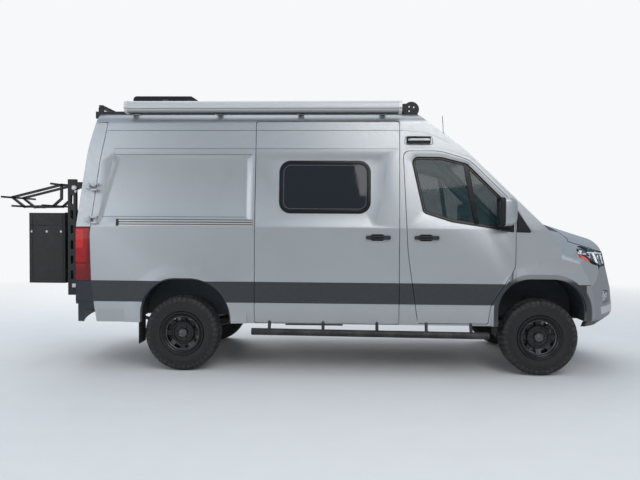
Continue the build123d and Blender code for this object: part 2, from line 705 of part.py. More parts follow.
nodes["rear_bumper"] = solids_of(rear_bumper)

# floor with the front wall and the wheel housings
front_house_y = 530.0
rear_house_y = 705.0
house_wall = 12.0


def housing(outline, radii, inner_y, wall):
    outer = side_prism(moved_in(outline, -wall), radii, inner_y - wall, floor_half)
    inner = side_prism(outline, radii, inner_y, floor_half + 1)
    return outer - inner


floor_pan = block(floor_rear_x, floor_front_x, -floor_half, floor_half, floor_low_z, floor_top_z)
floor_pan = floor_pan + block(
    board_rear_x, board_front_x, -board_half, board_half, floor_top_z, floor_top_z + board_thickness)
front_wall = block(floor_front_x - 20, floor_front_x, -floor_half, floor_half, floor_top_z, 1440)
house_limit = block(rear_end, front_end, -side_end, side_end, 560, 1300)
houses = []
for outline, radii, inner_y in (
    (front_arch_outline, front_arch_radii, front_house_y), (rear_arch_outline, rear_arch_radii, rear_house_y),
):
    room = side_prism(moved_in(outline, -house_wall), radii, inner_y - house_wall, side_end)
    house = (housing(outline, radii, inner_y, house_wall) & house_limit) & inner_body
    houses.extend([house, mirrored(house)])
    floor_pan = floor_pan - room - mirrored(room)
    front_wall = front_wall - room - mirrored(room)
floor_pan = floor_pan & inner_body
front_wall = front_wall & inner_body
nodes["wheel_housings"] = solids_of(*houses)
door_sill_cut = block(-1400, -470, floor_half - panel_gap, floor_half + 10, floor_low_z - 10, 1000)
floor_pan = floor_pan - door_sill_cut - mirrored(door_sill_cut)
nodes["floor_pan"] = solids_of(floor_pan)
bonnet_bracket_outline = [
    (floor_front_x - 10, 1380), (floor_front_x + 10, 1380), (bonnet_hinge_x + 14, bonnet_hinge_z - 6),
    (bonnet_hinge_x, bonnet_hinge_z + 14), (floor_front_x - 10, 1420),
]
bracket = side_prism(
    bonnet_bracket_outline, [0, 0, 8, 8, 0], bonnet_arm_y + 8 + hinge_play, bonnet_arm_y + 18)
pin = rod_y(bonnet_hinge_x, bonnet_hinge_z, hinge_pin_radius, bonnet_arm_y - 10, bonnet_arm_y + 18)
front_wall = front_wall + bracket + mirrored(bracket) + pin + mirrored(pin)
nodes["front_wall"] = solids_of(front_wall)

# ladder frame under the floor
rail_y = 420.0
rail_width = 80.0
rail_low_z = 520.0
beam_front_x = rear_face_x + 291
underframe = block(beam_front_x, 670, rail_y - rail_width / 2, rail_y + rail_width / 2, rail_low_z, floor_low_z)
underframe = underframe + mirrored(underframe)
for member_x in (640, 260, -760, -1700, -2700, rear_axle_x + 415, rear_axle_x - 415, beam_front_x + 60):
    underframe = underframe + block(member_x - 30, member_x + 30, -rail_y, rail_y, rail_low_z, 600)
for outrigger_x in (-1000, -2000, -2900):
    arm = block(outrigger_x - 25, outrigger_x + 25, rail_y, floor_half, 570, floor_low_z)
    underframe = underframe + arm + mirrored(arm)
rear_beam = block(beam_front_x - 60, beam_front_x, -700, 700, 500, 600)
for bolt_y in (-tow_bolt_wide / 2, tow_bolt_wide / 2):
    for bolt_z in (550 - tow_bolt_high / 2, 550 + tow_bolt_high / 2):
        rear_beam = rear_beam - rod_x(bolt_y, bolt_z, tow_bolt_radius, beam_front_x - 70, beam_front_x + 10)
underframe = underframe + rear_beam
nodes["underframe"] = solids_of(underframe)

# engine as a plain block
engine = block(60, 620, -270, 270, 600, 1180)
nodes["engine_block"] = solids_of(engine)

# axles with springs
axle_z = tyre_radius
axle_radius = 48.0
hub_gap = 0.3
rear_hub_end = wheel_seat_y - hub_gap
front_axle = rod_y(0, axle_z, axle_radius, -700, 700) + rod_y(0, axle_z, 150, 90, 240)
for side in (1, -1):
    for plate_z in (300, 456):
        front_axle = front_axle + block(
            -42, 42, side * (kingpin_y - 35) - 75, side * (kingpin_y - 35) + 75, plate_z, plate_z + 20)
    front_axle = front_axle + block(-42, 42, side * 690 - 10, side * 690 + 10, 300, 476)
    front_axle = front_axle + rod_z(0, side * 600, 40, axle_z, 500)
    front_axle = front_axle + rod_z(0, side * 600, 62, 500, 760)
rear_axle = rod_y(rear_axle_x, axle_z, axle_radius, -rear_hub_end, rear_hub_end)
rear_axle = rear_axle + rod_y(rear_axle_x, axle_z, 165, -90, 90)
for side in (1, -1):
    spring_outline = [
        (rear_axle_x - 700, rail_low_z - 22), (rear_axle_x - 60, 318), (rear_axle_x + 60, 318),
        (rear_axle_x + 700, rail_low_z - 22), (rear_axle_x + 700, rail_low_z), (rear_axle_x + 60, 345),
        (rear_axle_x - 60, 345), (rear_axle_x - 700, rail_low_z),
    ]
    leaf = side_prism(spring_outline, [0, 300, 300, 0, 0, 300, 300, 0], side * rail_y - 35, side * rail_y + 35)
    rear_axle = rear_axle + leaf
    rear_axle = rear_axle + block(
        rear_axle_x - 55, rear_axle_x + 55, side * rail_y - 35, side * rail_y + 35, 330, axle_z)
nodes["axles"] = solids_of(front_axle, rear_axle)

# gearbox, shafts and exhaust
driveline = block(-500, 60, -170, 170, 430, floor_low_z) + block(-1050, -650, -190, 150, 400, rail_low_z)
driveline = driveline + rod_x(0, 480, 40, -660, -490)
driveline = driveline + rod_between((-1040, 0, 470), (rear_axle_x + 150, 0, axle_z), 42)
driveline = driveline + rod_between((-660, 130, 440), (-100, 165, axle_z), 26)
driveline = driveline - front_axle - rear_axle
nodes["driveline"] = solids_of(driveline)
exhaust_y = -270.0
exhaust_z = 465.0
exhaust = rod_x(exhaust_y, exhaust_z, 30, -3150, -200) + rod_x(exhaust_y, exhaust_z, 88, -2650, -2000)
exhaust = exhaust + block(-2720, -2680, exhaust_y - 20, exhaust_y + 20, exhaust_z, rail_low_z)
nodes["exhaust"] = solids_of(exhaust)
tank = block(-1950, -1150, 480, 880, 400, 570)
tank = fillet(tank.edges().filter_by(Axis.X), 40)
tank = tank + block(-1700, -1640, 480, 880, 560, floor_low_z) + block(-1400, -1340, 480, 880, 560, floor_low_z)
nodes["fuel_tank"] = solids_of(tank)

# steering knuckles
knuckle_low = 320.0 + hub_gap
knuckle_high = 456.0 - hub_gap
knuckle_left = rod_z(0, kingpin_y, 40, knuckle_low, knuckle_high)
knuckle_left = knuckle_left + rod_y(0, axle_z, 60, kingpin_y, wheel_seat_y - hub_gap)
nodes["knuckle_left"] = solids_of(knuckle_left)
nodes["knuckle_right"] = solids_of(mirrored(knuckle_left))

# wheels, drawn about the upright plane through the middle of the tyre
bead_radius = rim_radius - 19


def tyre_shape():
    half = tyre_width / 2
    side = [
        (bead_radius + 0.3, half - 24.9), (rim_radius + 0.4, half - 20.9), (rim_radius + 22, half - 7),
        (300, half), (350, half - 4), (tyre_radius - 14, half - 14), (tyre_radius, half - 30),
    ]
    points = [(radius, -y) for radius, y in side] + side[::-1]
    plane = Plane(origin=(0, 0, 0), x_dir=(1, 0, 0), z_dir=(0, 0, 1))
    return revolve(plane * outline_face(points, 0), axis=Axis.Y)


def rim_shape():
    """Rim whose outer face looks along +y."""
    hub_y = hub_face_y - wheel_y
    points = [
        (184, -108), (rim_radius, -112), (rim_radius, -102), (bead_radius, -98), (bead_radius, 98),
        (rim_radius, 102), (rim_radius, 112), (208, 112), (194, 96), (184, 90),
    ]
    ring = revolve(outline_face(points, 0), axis=Axis.Y)
    disc_points = [
        (0, hub_y - wheel_plate), (70, hub_y - wheel_plate), (100, hub_y - 28), (190, hub_y - 12),
        (190, hub_y + 30), (165, hub_y + 24), (116, hub_y), (112, hub_y + 14), (98, hub_y + 14),
        (92, hub_y + 4), (50, hub_y + 4), (46, hub_y + 34), (0, hub_y + 34),
    ]
    disc = revolve(outline_face(disc_points, 0), axis=Axis.Y)
    window_face = outline_face([(124, -24), (176, -46), (176, 46), (124, 24)], [12, 16, 16, 12])
    plane = Plane(origin=(0, 150, 0), x_dir=(1, 0, 0), z_dir=(0, -1, 0))
    window = extrude(plane * window_face, amount=300)
    for index in range(spoke_count):
        disc = disc - Rot(0, (index + 0.5) * 360 / spoke_count, 0) * window
    for index in range(lug_count):
        angle = math.radians(index * 360 / lug_count)
        disc = disc - rod_y(
            lug_circle * math.cos(angle), lug_circle * math.sin(angle), 12, hub_y - 12, hub_y + 50)
    return ring + disc


tyre = tyre_shape()
rim = rim_shape()
for name, x, side in (
    ("front_left", 0, 1), ("front_right", 0, -1), ("rear_left", rear_axle_x, 1), ("rear_right", rear_axle_x, -1),
):
    place = Pos(x, side * wheel_y, axle_z)
    nodes["tyre_" + name] = solids_of(place * tyre)
    nodes["rim_" + name] = solids_of(place * (rim if side > 0 else Rot(0, 0, 180) * rim))

# dashboard and steering wheel
dash_outline = [
    (floor_front_x - 20, 1000), (floor_front_x - 20, 1430), (-180, 1425), (-330, 1330), (-350, 1180),
    (-240, 1000),
]
dashboard = side_prism(dash_outline[::-1], [0, 60, 60, 60, 0, 0], -floor_half, floor_half)
dashboard = dashboard & cabin_inner & block(-500, 100, -floor_half + 24, floor_half - 24, 900, 1600)
driver_y = 430.0
wheel_centre = (-520, driver_y, 1290)
column = rod_between((-320, driver_y, 1205), wheel_centre, 28)
steering_ring = Pos(*wheel_centre) * Rot(0, -64, 0) * Torus(185, 15)
steering_spokes = Pos(*wheel_centre) * Rot(0, -64, 0) * (Box(30, 372, 14) + Cylinder(60, 30))
nodes["dashboard"] = solids_of(dashboard - column)
nodes["steering_wheel"] = solids_of(steering_ring + steering_spokes + column)

# cab seats
seat_base_outline = [(-1180, floor_top_z), (-720, floor_top_z), (-700, 960), (-1200, 960)]
cushion_outline = [(-1230, 960), (-690, 960), (-660, 1040), (-700, 1090), (-1200, 1060)]
back_outline = [(-1310, 980), (-1200, 1000), (-1330, 1680), (-1420, 1680)]
head_outline = [(-1425, 1700), (-1345, 1700), (-1370, 1880), (-1440, 1880)]
seat = side_prism(seat_base_outline, 20, -190, 190)
seat = seat + side_prism(cushion_outline, 25, -250, 250)
seat = seat + side_prism(back_outline, 25, -245, 245)
seat = seat + side_prism(head_outline, 25, -130, 130)
seat = seat + side_prism([(-1415, 1660), (-1365, 1660), (-1370, 1720), (-1410, 1720)], 0, -60, 60)
seats = [Pos(0, side * driver_y, 0) * seat for side in (1, -1)]
nodes["cab_seats"] = solids_of(*seats)

# mirrors on the doors: three crossing outlines give the rounded case
mirror_in = side_half + 28
mirror_out = side_half + 240
mirror_face_outline = [
    (-mirror_out + 4, 1540), (-mirror_in - 10, 1528), (-mirror_in, 1785), (-mirror_in - 35, 1806),
    (-mirror_out + 27, 1806), (-mirror_out, 1770),
]
mirror_side_outline = [(-466, 1515), (-350, 1508), (-300, 1560), (-296, 1740), (-340, 1800), (-466, 1806)]
mirror_plan_outline = [
    (-466, -mirror_out), (-350, -mirror_out), (-305, -mirror_out + 60), (-296, -mirror_in - 60),
    (-340, -mirror_in), (-466, -mirror_in),
]
mirror_case = front_prism(mirror_face_outline, [40, 30, 30, 30, 40, 40], -466, -296)
mirror_case = mirror_case & side_prism(
    mirror_side_outline, [20, 40, 60, 60, 40, 20], -mirror_out - 10, -mirror_in + 10)
mirror_case = mirror_case & plan_prism(mirror_plan_outline, [15, 60, 60, 60, 40, 15], 1490, 1820)
mirror_case = mirror_case - front_prism(
    moved_in(mirror_face_outline, 14), [30, 20, 20, 20, 30, 30], -470, -459)
mirror_arm = side_prism(
    [(-440, 1425), (-312, 1425), (-306, 1545), (-440, 1560)], 12, -mirror_in - 90, -side_half + 42)
mirror_right = (mirror_case + mirror_arm) - cabin_outer - plain_section(glass_depth - 1)
nodes["mirror_right"] = solids_of(mirror_right)
nodes["mirror_left"] = solids_of(mirrored(mirror_right))

# rails and cross bars on the roof, with a lamp bar across the front
rack_y = roof_edge_half - 102
rack_top_z = 2780.0
rack_front_x = -1330.0
rack_rear_x = rear_face_x + 211
rack = block(rack_rear_x, rack_front_x, rack_y - 18, rack_y + 18, 2640, 2712)
rack = (rack + mirrored(rack)) - outer_body
for bar_x in (-1600, -2450, -3300, rear_face_x + 266):
    for side in (1, -1):
        rack = rack + block(bar_x - 25, bar_x + 25, side * rack_y - 18, side * rack_y + 18, 2700, 2752)
    rack = rack + block(bar_x - 20, bar_x + 20, -rack_y - 18, rack_y + 18, 2750, rack_top_z)
lamp_bar_half = roof_edge_half - 62
lamp_bar_x = -1302.0
lamp_bar_z = 2727.0
lamp_bar_outline = [(-1401, 2700), (-1235, 2690), (-1232, 2760), (-1260, 2792), (-1401, 2785)]
lamp_bar = side_prism(lamp_bar_outline, [10, 25, 25, 25, 15], -lamp_bar_half, lamp_bar_half)
end_disc = rod_y(lamp_bar_x, lamp_bar_z, 80, lamp_bar_half - 14, lamp_bar_half)
lamp_bar = lamp_bar + end_disc + mirrored(end_disc)
rack = rack + (lamp_bar - outer_body)
nodes["roof_rack"] = solids_of(rack)

# awning case on the right side of the roof
awning_y = -(roof_edge_half + 88)
awning_z = 2722.0
awning_front_x = -1414.0
awning_rear_x = rear_face_x + 592
awning_cap = 30.0
awning_outline = [
    (awning_y - 70, awning_z - 55), (awning_y + 60, awning_z - 62), (awning_y + 64, awning_z + 30),
    (awning_y + 10, awning_z + 71), (awning_y - 55, awning_z + 60),
]
awning_radii = [50, 15, 20, 40, 50]
awning = front_prism(moved_in(awning_outline, 3), awning_radii, awning_rear_x, awning_front_x)
for cap_x in (awning_rear_x, awning_front_x - awning_cap):
    awning = awning + front_prism(awning_outline, awning_radii, cap_x, cap_x + awning_cap)
front_lip = block(awning_rear_x, awning_front_x, awning_y - 69, awning_y - 40, awning_z - 22, awning_z - 17)
awning = (awning - front_lip) - outer_body
for bar_x in (-1600, -2450, -3300, awning_rear_x + 59):
    bracket = block(bar_x - 30, bar_x + 30, awning_y + 50, -rack_y - 18, 2690, 2710)
    awning = awning + (bracket - outer_body)
nodes["awning"] = solids_of(awning)

# fan and cooler unit on the roof
unit_rear_x = rear_face_x + 359
unit_top_z = 3040.0
unit_outline = [
    (unit_rear_x, 2700), (unit_rear_x + 852, 2700), (unit_rear_x + 837, 2960),
    (unit_rear_x + 694, unit_top_z), (unit_rear_x, unit_top_z),
]
roof_unit = side_prism(unit_outline, [0, 0, 40, 60, 40], -340, 340) - outer_body
for index in range(8):
    louvre_x = unit_rear_x + 60 + index * 34
    louvre = side_prism(strip_outline([(louvre_x, 2860), (louvre_x, 2980)], 12), 0, -350, -330)
    roof_unit = roof_unit - louvre - mirrored(louvre)
nodes["roof_unit"] = solids_of(roof_unit)

# steps along the sills
step_y = -(side_half + 48)
step_rear_x = slide_rear_x - 22
step_front_x = -531.0
step_rear_z = 432.0
step_front_z = 415.0
step = rod_between((step_rear_x, step_y, step_rear_z), (step_front_x, step_y, step_front_z), 35)
for bracket_x in (-2750, -2200, -1650, -1150, -700):
    share = (bracket_x - step_rear_x) / (step_front_x - step_rear_x)
    level = step_rear_z + share * (step_front_z - step_rear_z)
    stay = rod_between((bracket_x, step_y + 20, level), (bracket_x, -side_half + 42, 560), 16)
    step = step + (stay - shell)
nodes["side_steps"] = solids_of(step, mirrored(step))

# mud flaps
flap_thickness = 6.0
flap_front_x = front_arch_outline[0][0] - house_wall
flap_rear_x = rear_arch_outline[0][0] - house_wall
flap_front = block(
    flap_front_x - flap_thickness, flap_front_x, -side_half + 2, -800, 398, floor_low_z) - shell
flap_rear = block(flap_rear_x - flap_thickness, flap_rear_x, -side_half + 2, -780, 279, floor_low_z) - shell
nodes["mud_flaps"] = solids_of(flap_front, flap_rear, mirrored(flap_front), mirrored(flap_rear))

# work lamps above the doors
work_lamp_z = 2395.0
work_lamp_face = -(side_half - (work_lamp_z - belt_z) * side_slope + 48)
work_lamp_outline = [
    (-1368, work_lamp_face + 90), (-1350, work_lamp_face), (-1119, work_lamp_face), (-1101, work_lamp_face + 90),
]
work_lamp = plan_prism(work_lamp_outline, [0, 24, 24, 0], work_lamp_z - 31, work_lamp_z + 31) - cabin_outer
nodes["side_lamps"] = solids_of(work_lamp, mirrored(work_lamp))

# carrier on the right rear door
post_low_z = 759.0
post_high_z = 1990.0
post_rear_x = rear_face_x - 76
bar_rear_x = post_rear_x + 5
bar_front_x = bar_rear_x + 30
post_width = 87.0
carrier = None
for post_y in (-800, -120):
    post = block(post_rear_x, post_rear_x + post_width, post_y - 24, post_y + 24, post_low_z, post_high_z)
    for index in range(6):
        middle_z = post_low_z + 215 + index * 160
        slot = side_prism(
            strip_outline([(post_rear_x + 44, middle_z - 48), (post_rear_x + 44, middle_z + 48)], 30), 12,
            post_y - 30, post_y + 30)
        post = post - slot
    carrier = post if carrier is None else carrier + post
for bar_z in (860, 1250, 1640, 1930):
    carrier = carrier + block(bar_rear_x, bar_front_x, -800, -120, bar_z - 25, bar_z + 25)
for bar_z in (860, 1930):
    for post_y in (-800, -120):
        carrier = carrier + block(bar_front_x, rear_face_x + 151, post_y - 20, post_y + 20, bar_z - 30, bar_z + 30)
carrier = carrier - outer_body
box_front_x = bar_rear_x - 68
for arm_y in (-590, -310):
    carrier = carrier + block(box_front_x, bar_rear_x, arm_y - 30, arm_y + 30, 1000, 1450)
nodes["carrier_frame"] = solids_of(carrier)
box_low_z = 877.0
box_high_z = 1633.0
box_depth = 411.0
box_lid_z = 1500.0
box_rear_x = box_front_x - box_depth
storage = plan_prism(
    [(box_rear_x, -740), (box_front_x, -740), (box_front_x, -80), (box_rear_x, -80)], [35, 12, 12, 35],
    box_low_z, box_high_z)
lid_line = block(box_rear_x - 5, box_front_x - 40, -745, -75, box_lid_z - 3, box_lid_z + 3)
lid_line = lid_line - block(box_rear_x + 5, box_front_x, -735, -85, box_lid_z - 10, box_lid_z + 10)
storage = storage - lid_line
for rib_y in (-640, -525, -410, -295, -180):
    storage = storage - block(box_rear_x - 5, box_rear_x + 5, rib_y - 12, rib_y + 12, box_low_z + 60, box_lid_z - 60)
nodes["storage_box"] = solids_of(storage)

# folding rack on the carrier's upper bar, of square tubes; places as x behind the rear face, and z
rack_tube = 26.0
rack_loop = [(-71, 1930), (-259, 1945), (-813, 1806), (-680, 1702), (-353, 1710), (-262, 1790), (-259, 1945)]
rack_cross_tubes = [(-795, 1801), (-680, 1704), (-353, 1712), (-259, 1943)]
bike_rack = None
for arm_y in (-560, -320):
    side_frame = block(bar_rear_x - 18, bar_rear_x, arm_y - 30, arm_y + 30, 1895, 1965)
    for (start_x, start_z), (end_x, end_z) in zip(rack_loop, rack_loop[1:]):
        length = math.hypot(end_x - start_x, end_z - start_z)
        reach_x = (end_x - start_x) / length * rack_tube / 3
        reach_z = (end_z - start_z) / length * rack_tube / 3
        tube_outline = strip_outline([
            (rear_face_x + start_x - reach_x, start_z - reach_z), (rear_face_x + end_x + reach_x, end_z + reach_z),
        ], rack_tube)
        side_frame = side_frame + side_prism(tube_outline, 0, arm_y - rack_tube / 2, arm_y + rack_tube / 2)
    bike_rack = side_frame if bike_rack is None else bike_rack + side_frame
cross_half = rack_tube / 2 - 3
for cross_x, cross_z in rack_cross_tubes:
    bike_rack = bike_rack + block(
        rear_face_x + cross_x - cross_half, rear_face_x + cross_x + cross_half, -820, -80,
        cross_z - cross_half, cross_z + cross_half)
bike_rack = bike_rack - block(bar_rear_x, bar_front_x + 100, -900, 0, 1800, 2000)
nodes["bike_rack"] = solids_of(bike_rack)

# the frame origin lies under the middle of the whole model
bounds = [shape.bounding_box() for shapes in nodes.values() for shape in shapes]
shift_x = -(min(b.min.X for b in bounds) + max(b.max.X for b in bounds)) / 2
os.makedirs("parts", exist_ok=True)
for name, shapes in nodes.items():
    placed = [Pos(shift_x, 0, 0) * shape for shape in shapes]
    export_step(Compound(children=placed), "parts/" + name + ".step")
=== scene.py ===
import math

import bmesh
import bpy
from mathutils import Matrix, Vector
from mathutils.bvhtree import BVHTree


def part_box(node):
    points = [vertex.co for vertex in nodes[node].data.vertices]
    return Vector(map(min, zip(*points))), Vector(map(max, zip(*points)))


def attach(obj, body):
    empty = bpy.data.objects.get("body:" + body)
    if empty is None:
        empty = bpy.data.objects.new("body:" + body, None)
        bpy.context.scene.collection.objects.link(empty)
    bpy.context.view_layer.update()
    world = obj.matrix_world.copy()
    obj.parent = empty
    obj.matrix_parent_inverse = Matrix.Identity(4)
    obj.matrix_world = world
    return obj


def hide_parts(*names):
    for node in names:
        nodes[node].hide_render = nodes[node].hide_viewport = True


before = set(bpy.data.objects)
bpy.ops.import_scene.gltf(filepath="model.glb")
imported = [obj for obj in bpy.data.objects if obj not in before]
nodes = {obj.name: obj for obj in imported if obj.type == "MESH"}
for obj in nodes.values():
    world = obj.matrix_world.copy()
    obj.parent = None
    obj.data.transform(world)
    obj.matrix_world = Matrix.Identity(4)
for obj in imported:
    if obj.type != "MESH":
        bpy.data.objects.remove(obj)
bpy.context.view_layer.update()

# Sizes are in millimetres, with x counted forward from the front axle, as in the part's source.
MM = 0.001
front_low, front_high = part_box("tyre_front_left")
AXLE_X = (front_low.x + front_high.x) / 2
WHEELBASE = 3665.0
AXLE_Z = 388.0
WHEEL_Y = 866.0
NOSE_AXIS_X = -296.0
SIDE_HALF = 1002.0
BELT_Z = 1488.0
SIDE_SLOPE = (SIDE_HALF - 862.0) / (2672.0 - BELT_Z)
PAST_SIDE = 1100
RAIL_PITCH = 24.0
SIDES = (("left", 1), ("right", -1))
BACKDROP = (0.93, 0.94, 0.95)
SILVER = (0.38, 0.395, 0.405)
CABIN_GLASS = (0.012, 0.034, 0.038)
CABIN_ALPHA, PRIVACY_ALPHA = 0.52, 0.93
SMOOTH_BELOW = math.radians(32)


def vec(*values):
    return Vector(values)


def place(x, y, z):
    return vec(x * MM + AXLE_X, y * MM, z * MM)


def in_mm(spot):
    return vec((spot.x - AXLE_X) / MM, spot.y / MM, spot.z / MM)


def side_y(z):
    return SIDE_HALF - max(0.0, z - BELT_Z) * SIDE_SLOPE


def tint(colour, factor, more=0.0):
    return tuple(c * factor + more for c in colour)


# shader helpers
class Nodes:
    """A node tree whose nodes are made and joined by short calls."""

    def __init__(self, tree, coords=None):
        self.tree = tree
        if coords:
            self.coords = self.node("ShaderNodeTexCoord").outputs[coords]

    def put(self, node, socket, value):
        target = node.inputs[socket]
        if isinstance(value, bpy.types.NodeSocket):
            self.tree.links.new(value, target)
        elif isinstance(value, tuple) and len(value) == 3 and target.type == "RGBA":
            target.default_value = (*value, 1.0)
        else:
            target.default_value = value

    def node(self, kind, values=(), **settings):
        """A new node; values go to its sockets in their order, or by name or number from a dict."""
        made = self.tree.nodes.new(kind)
        for key, value in settings.items():
            setattr(made, key, value)
        for socket, value in values.items() if isinstance(values, dict) else enumerate(values):
            self.put(made, socket, value)
        return made

    def axis(self, index):
        return self.node("ShaderNodeSeparateXYZ", [self.coords]).outputs[index]

    def math(self, operation, *values):
        """Result of an operation; more than two values are taken in turn."""
        result = self.node("ShaderNodeMath", values[:2], operation=operation).outputs[0]
        return self.math(operation, result, *values[2:]) if len(values) > 2 else result

    def times(self, *values):
        return self.math("MULTIPLY", *values)

    def most(self, *values):
        return self.math("MAXIMUM", *values)

    def noise(self, scale, detail=3.0, roughness=0.55, stretch=None):
        vector = self.coords
        if stretch:
            vector = self.node("ShaderNodeMapping", {"Vector": vector, "Scale": stretch}).outputs[0]
        values = {"Vector": vector, "Scale": scale, "Detail": detail, "Roughness": roughness}
        return self.node("ShaderNodeTexNoise", values).outputs["Fac"]

    def cells(self, scale):
        return self.node("ShaderNodeTexVoronoi", {"Vector": self.coords, "Scale": scale}).outputs["Distance"]

    def bands(self, scale, direction):
        values = {"Vector": self.coords, "Scale": scale}
        return self.node("ShaderNodeTexWave", values, bands_direction=direction).outputs["Fac"]

    def ramp(self, value, low, high, low_out=0.0, high_out=1.0):
        return self.node("ShaderNodeMapRange", (value, low, high, low_out, high_out)).outputs[0]

    def fall(self, value, low, high):
        return self.ramp(value, low, high, 1.0, 0.0)

    def mix(self, factor, first, second):
        return self.node("ShaderNodeMix", {0: factor, 6: first, 7: second}, data_type="RGBA").outputs[2]

    def layers(self, tone, *covers):
        for share, cover in covers:
            tone = self.mix(share, tone, cover)
        return tone

    def seen(self):
        """1 for what the camera sees, also through glass."""
        path = self.node("ShaderNodeLightPath")
        return self.most(path.outputs["Is Camera Ray"], path.outputs["Is Transmission Ray"])


class Material(Nodes):
    """The node tree of a new material."""

    def __init__(self, name, **settings):
        self.made = bpy.data.materials.new(name)
        self.made.use_nodes = True
        super().__init__(self.made.node_tree, "Object")
        self.surface = self.tree.nodes["Principled BSDF"]
        for socket, value in settings.items():
            self.set(socket.replace("_", " ").title().replace("Ior", "IOR"), value)

    def set(self, socket, value):
        self.put(self.surface, socket, value)

    def colour(self, tone, dirt=0.0):
        """Sets the colour, with dust that thickens towards the ground."""
        if dirt:
            height = self.fall(self.axis(2), 0.2, 0.75)
            patches = self.cloud(0.42, 0.7, 7.0, 6.0, 0.7)
            tone = self.mix(self.times(height, patches, dirt), tone, (0.27, 0.245, 0.2))
        self.set("Base Color", tone)

    def rough(self, scale, detail, low, high):
        self.set("Roughness", self.ramp(self.noise(scale, detail), 0.3, 0.7, low, high))

    def cloud(self, low, high, *noise):
        return self.ramp(self.noise(*noise), low, high)

    def bump(self, height, strength, distance=0.001):
        values = {"Strength": strength, "Distance": distance, "Height": height}
        self.set("Normal", self.node("ShaderNodeBump", values).outputs[0])

    def box(self, x=None, y=None, z=None, soft=0.0008, right_only=False):
        """1 inside a box given in the part's millimetres; y is measured from the middle, either side."""
        inside = []
        for index, limits in enumerate((x, y, z)):
            if limits is None:
                continue
            value = self.axis(index)
            low, high = (limit * MM + (AXLE_X if index == 0 else 0.0) for limit in limits)
            if index == 1:
                value = self.times(value, -1.0) if right_only else self.math("ABSOLUTE", value)
            inside += [self.ramp(value, low - soft, low + soft), self.fall(value, high - soft, high + soft)]
        return self.times(*inside)

    def near_arch(self, front, rear, top, slope, reach):
        """1 where the side lies less than reach outside an arch of two corner rounds, in millimetres."""
        height = self.math("SUBTRACT", self.axis(2), top * MM)
        along = self.math("ADD", self.math("SUBTRACT", self.axis(0), AXLE_X), self.times(height, slope))
        sides = []
        for (centre, radius), way in ((front, 1), (rear, -1)):
            beside = self.times(self.math("SUBTRACT", along, centre * MM), way)
            above = self.math("ADD", height, radius * MM)
            squares = [self.math("POWER", self.most(value, 0.0), 2.0) for value in (beside, above)]
            sides.append(self.math("SUBTRACT", self.math("SQRT", self.math("ADD", *squares)), radius * MM))
        return self.fall(self.most(*sides), (reach - 1) * MM, (reach + 1) * MM)


def paint(name, masked=False):
    """Silver paint; masked adds the dark band, arch lip, grips and sliding rail that share its panels."""
    mat = Material(name, metallic=0.6, roughness=0.34, coat_weight=0.35, coat_roughness=0.22)
    tone = mat.mix(mat.noise(2.2, 2.0), tint(SILVER, 0.94), tint(SILVER, 1.05))
    tone = mat.mix(mat.ramp(mat.cells(900.0), 0.0, 0.9, 0.0, 0.16), tone, (0.72, 0.73, 0.75))
    rough = mat.ramp(mat.noise(30.0, 4.0), 0.3, 0.7, 0.28, 0.38)
    if masked:
        x, z = mat.axis(0), mat.axis(2)
        grain = mat.cloud(0.3, 0.7, 60.0, 4.0)
        plastic_tone = mat.mix(grain, (0.012, 0.016, 0.021), (0.02, 0.025, 0.031))
        slant = mat.math("ADD", x, mat.times(z, 0.29))
        corner = mat.times(mat.fall(slant, AXLE_X - 4.409, AXLE_X - 4.407),
                           mat.box(y=(900, PAST_SIDE), z=(300, 724)))
        band = mat.most(mat.box(x=(-6000, 640), y=(1000.5, PAST_SIDE), z=(718, 934)), corner)
        lip = mat.most(mat.near_arch((116, 330), (-102, 330), 988, 0.0, 44),
                       mat.near_arch((-3585, 400), (-3730, 360), 953, 0.0536, 13))
        lip = mat.times(lip, mat.box(y=(985, PAST_SIDE), z=(300, 1100)))
        # Where this is 0, on top of the front arch, the lip is grey: silver paint darkened as painted shade.
        lip_dark = mat.most(mat.fall(z, 0.95, 0.99), mat.ramp(x, AXLE_X + 0.27, AXLE_X + 0.33),
                            mat.fall(x, AXLE_X - 0.6, AXLE_X - 0.59))
        grip = mat.most(*(mat.box(x=(start, start + 290), y=(1006, PAST_SIDE), z=(1360, 1435))
                          for start in (-1300, -1790)))
        rail = mat.box(x=(-4346, -2925), y=(960, 1030), z=(1499.5, 1571.5), right_only=True)
        rail_lines = mat.ramp(mat.math("SINE", mat.times(z, math.tau / (RAIL_PITCH * MM))), 0.1, 0.5)
        rail_tone = mat.mix(rail_lines, (0.5, 0.5, 0.49), (0.09, 0.09, 0.09))
        rail_end = mat.box(x=(-4346, -4318), y=(900, 1030))
        # Dark lines: the highest marks the joint of the roof cap; the others are painted shade along the
        # creases and the edges of the pressed panel.
        joint_and_crease_shade = mat.most(*(mat.box(x=(rear, front), z=(low, high)) for rear, front, low, high in (
            (-4470, -1400, 2493, 2500), (-4400, -1440, 2302, 2307), (-4390, -2940, 2239, 2246),
            (-4500, -3010, 1592, 1600))))
        matt = mat.most(band, lip, grip)
        tone = mat.layers(
            tone, (mat.times(joint_and_crease_shade, 0.6), (0.05, 0.055, 0.06)), (band, plastic_tone),
            # grey top of the front arch lip is painted shade; the rest of the lip is dark plastic
            (lip, mat.mix(lip_dark, (0.19, 0.2, 0.2), plastic_tone)),
            (rail, mat.mix(rail_end, rail_tone, (0.012, 0.012, 0.012))), (grip, (0.01, 0.01, 0.011)))
        mat.set("Metallic", mat.ramp(matt, 0.0, 1.0, 0.6, 0.0))
        rough = mat.math("ADD", rough, mat.times(matt, 0.2))
    mat.colour(tone, 0.35)
    mat.set("Roughness", rough)
    mat.bump(mat.noise(420.0, 2.0), 0.04, 0.0004)
    return mat.made


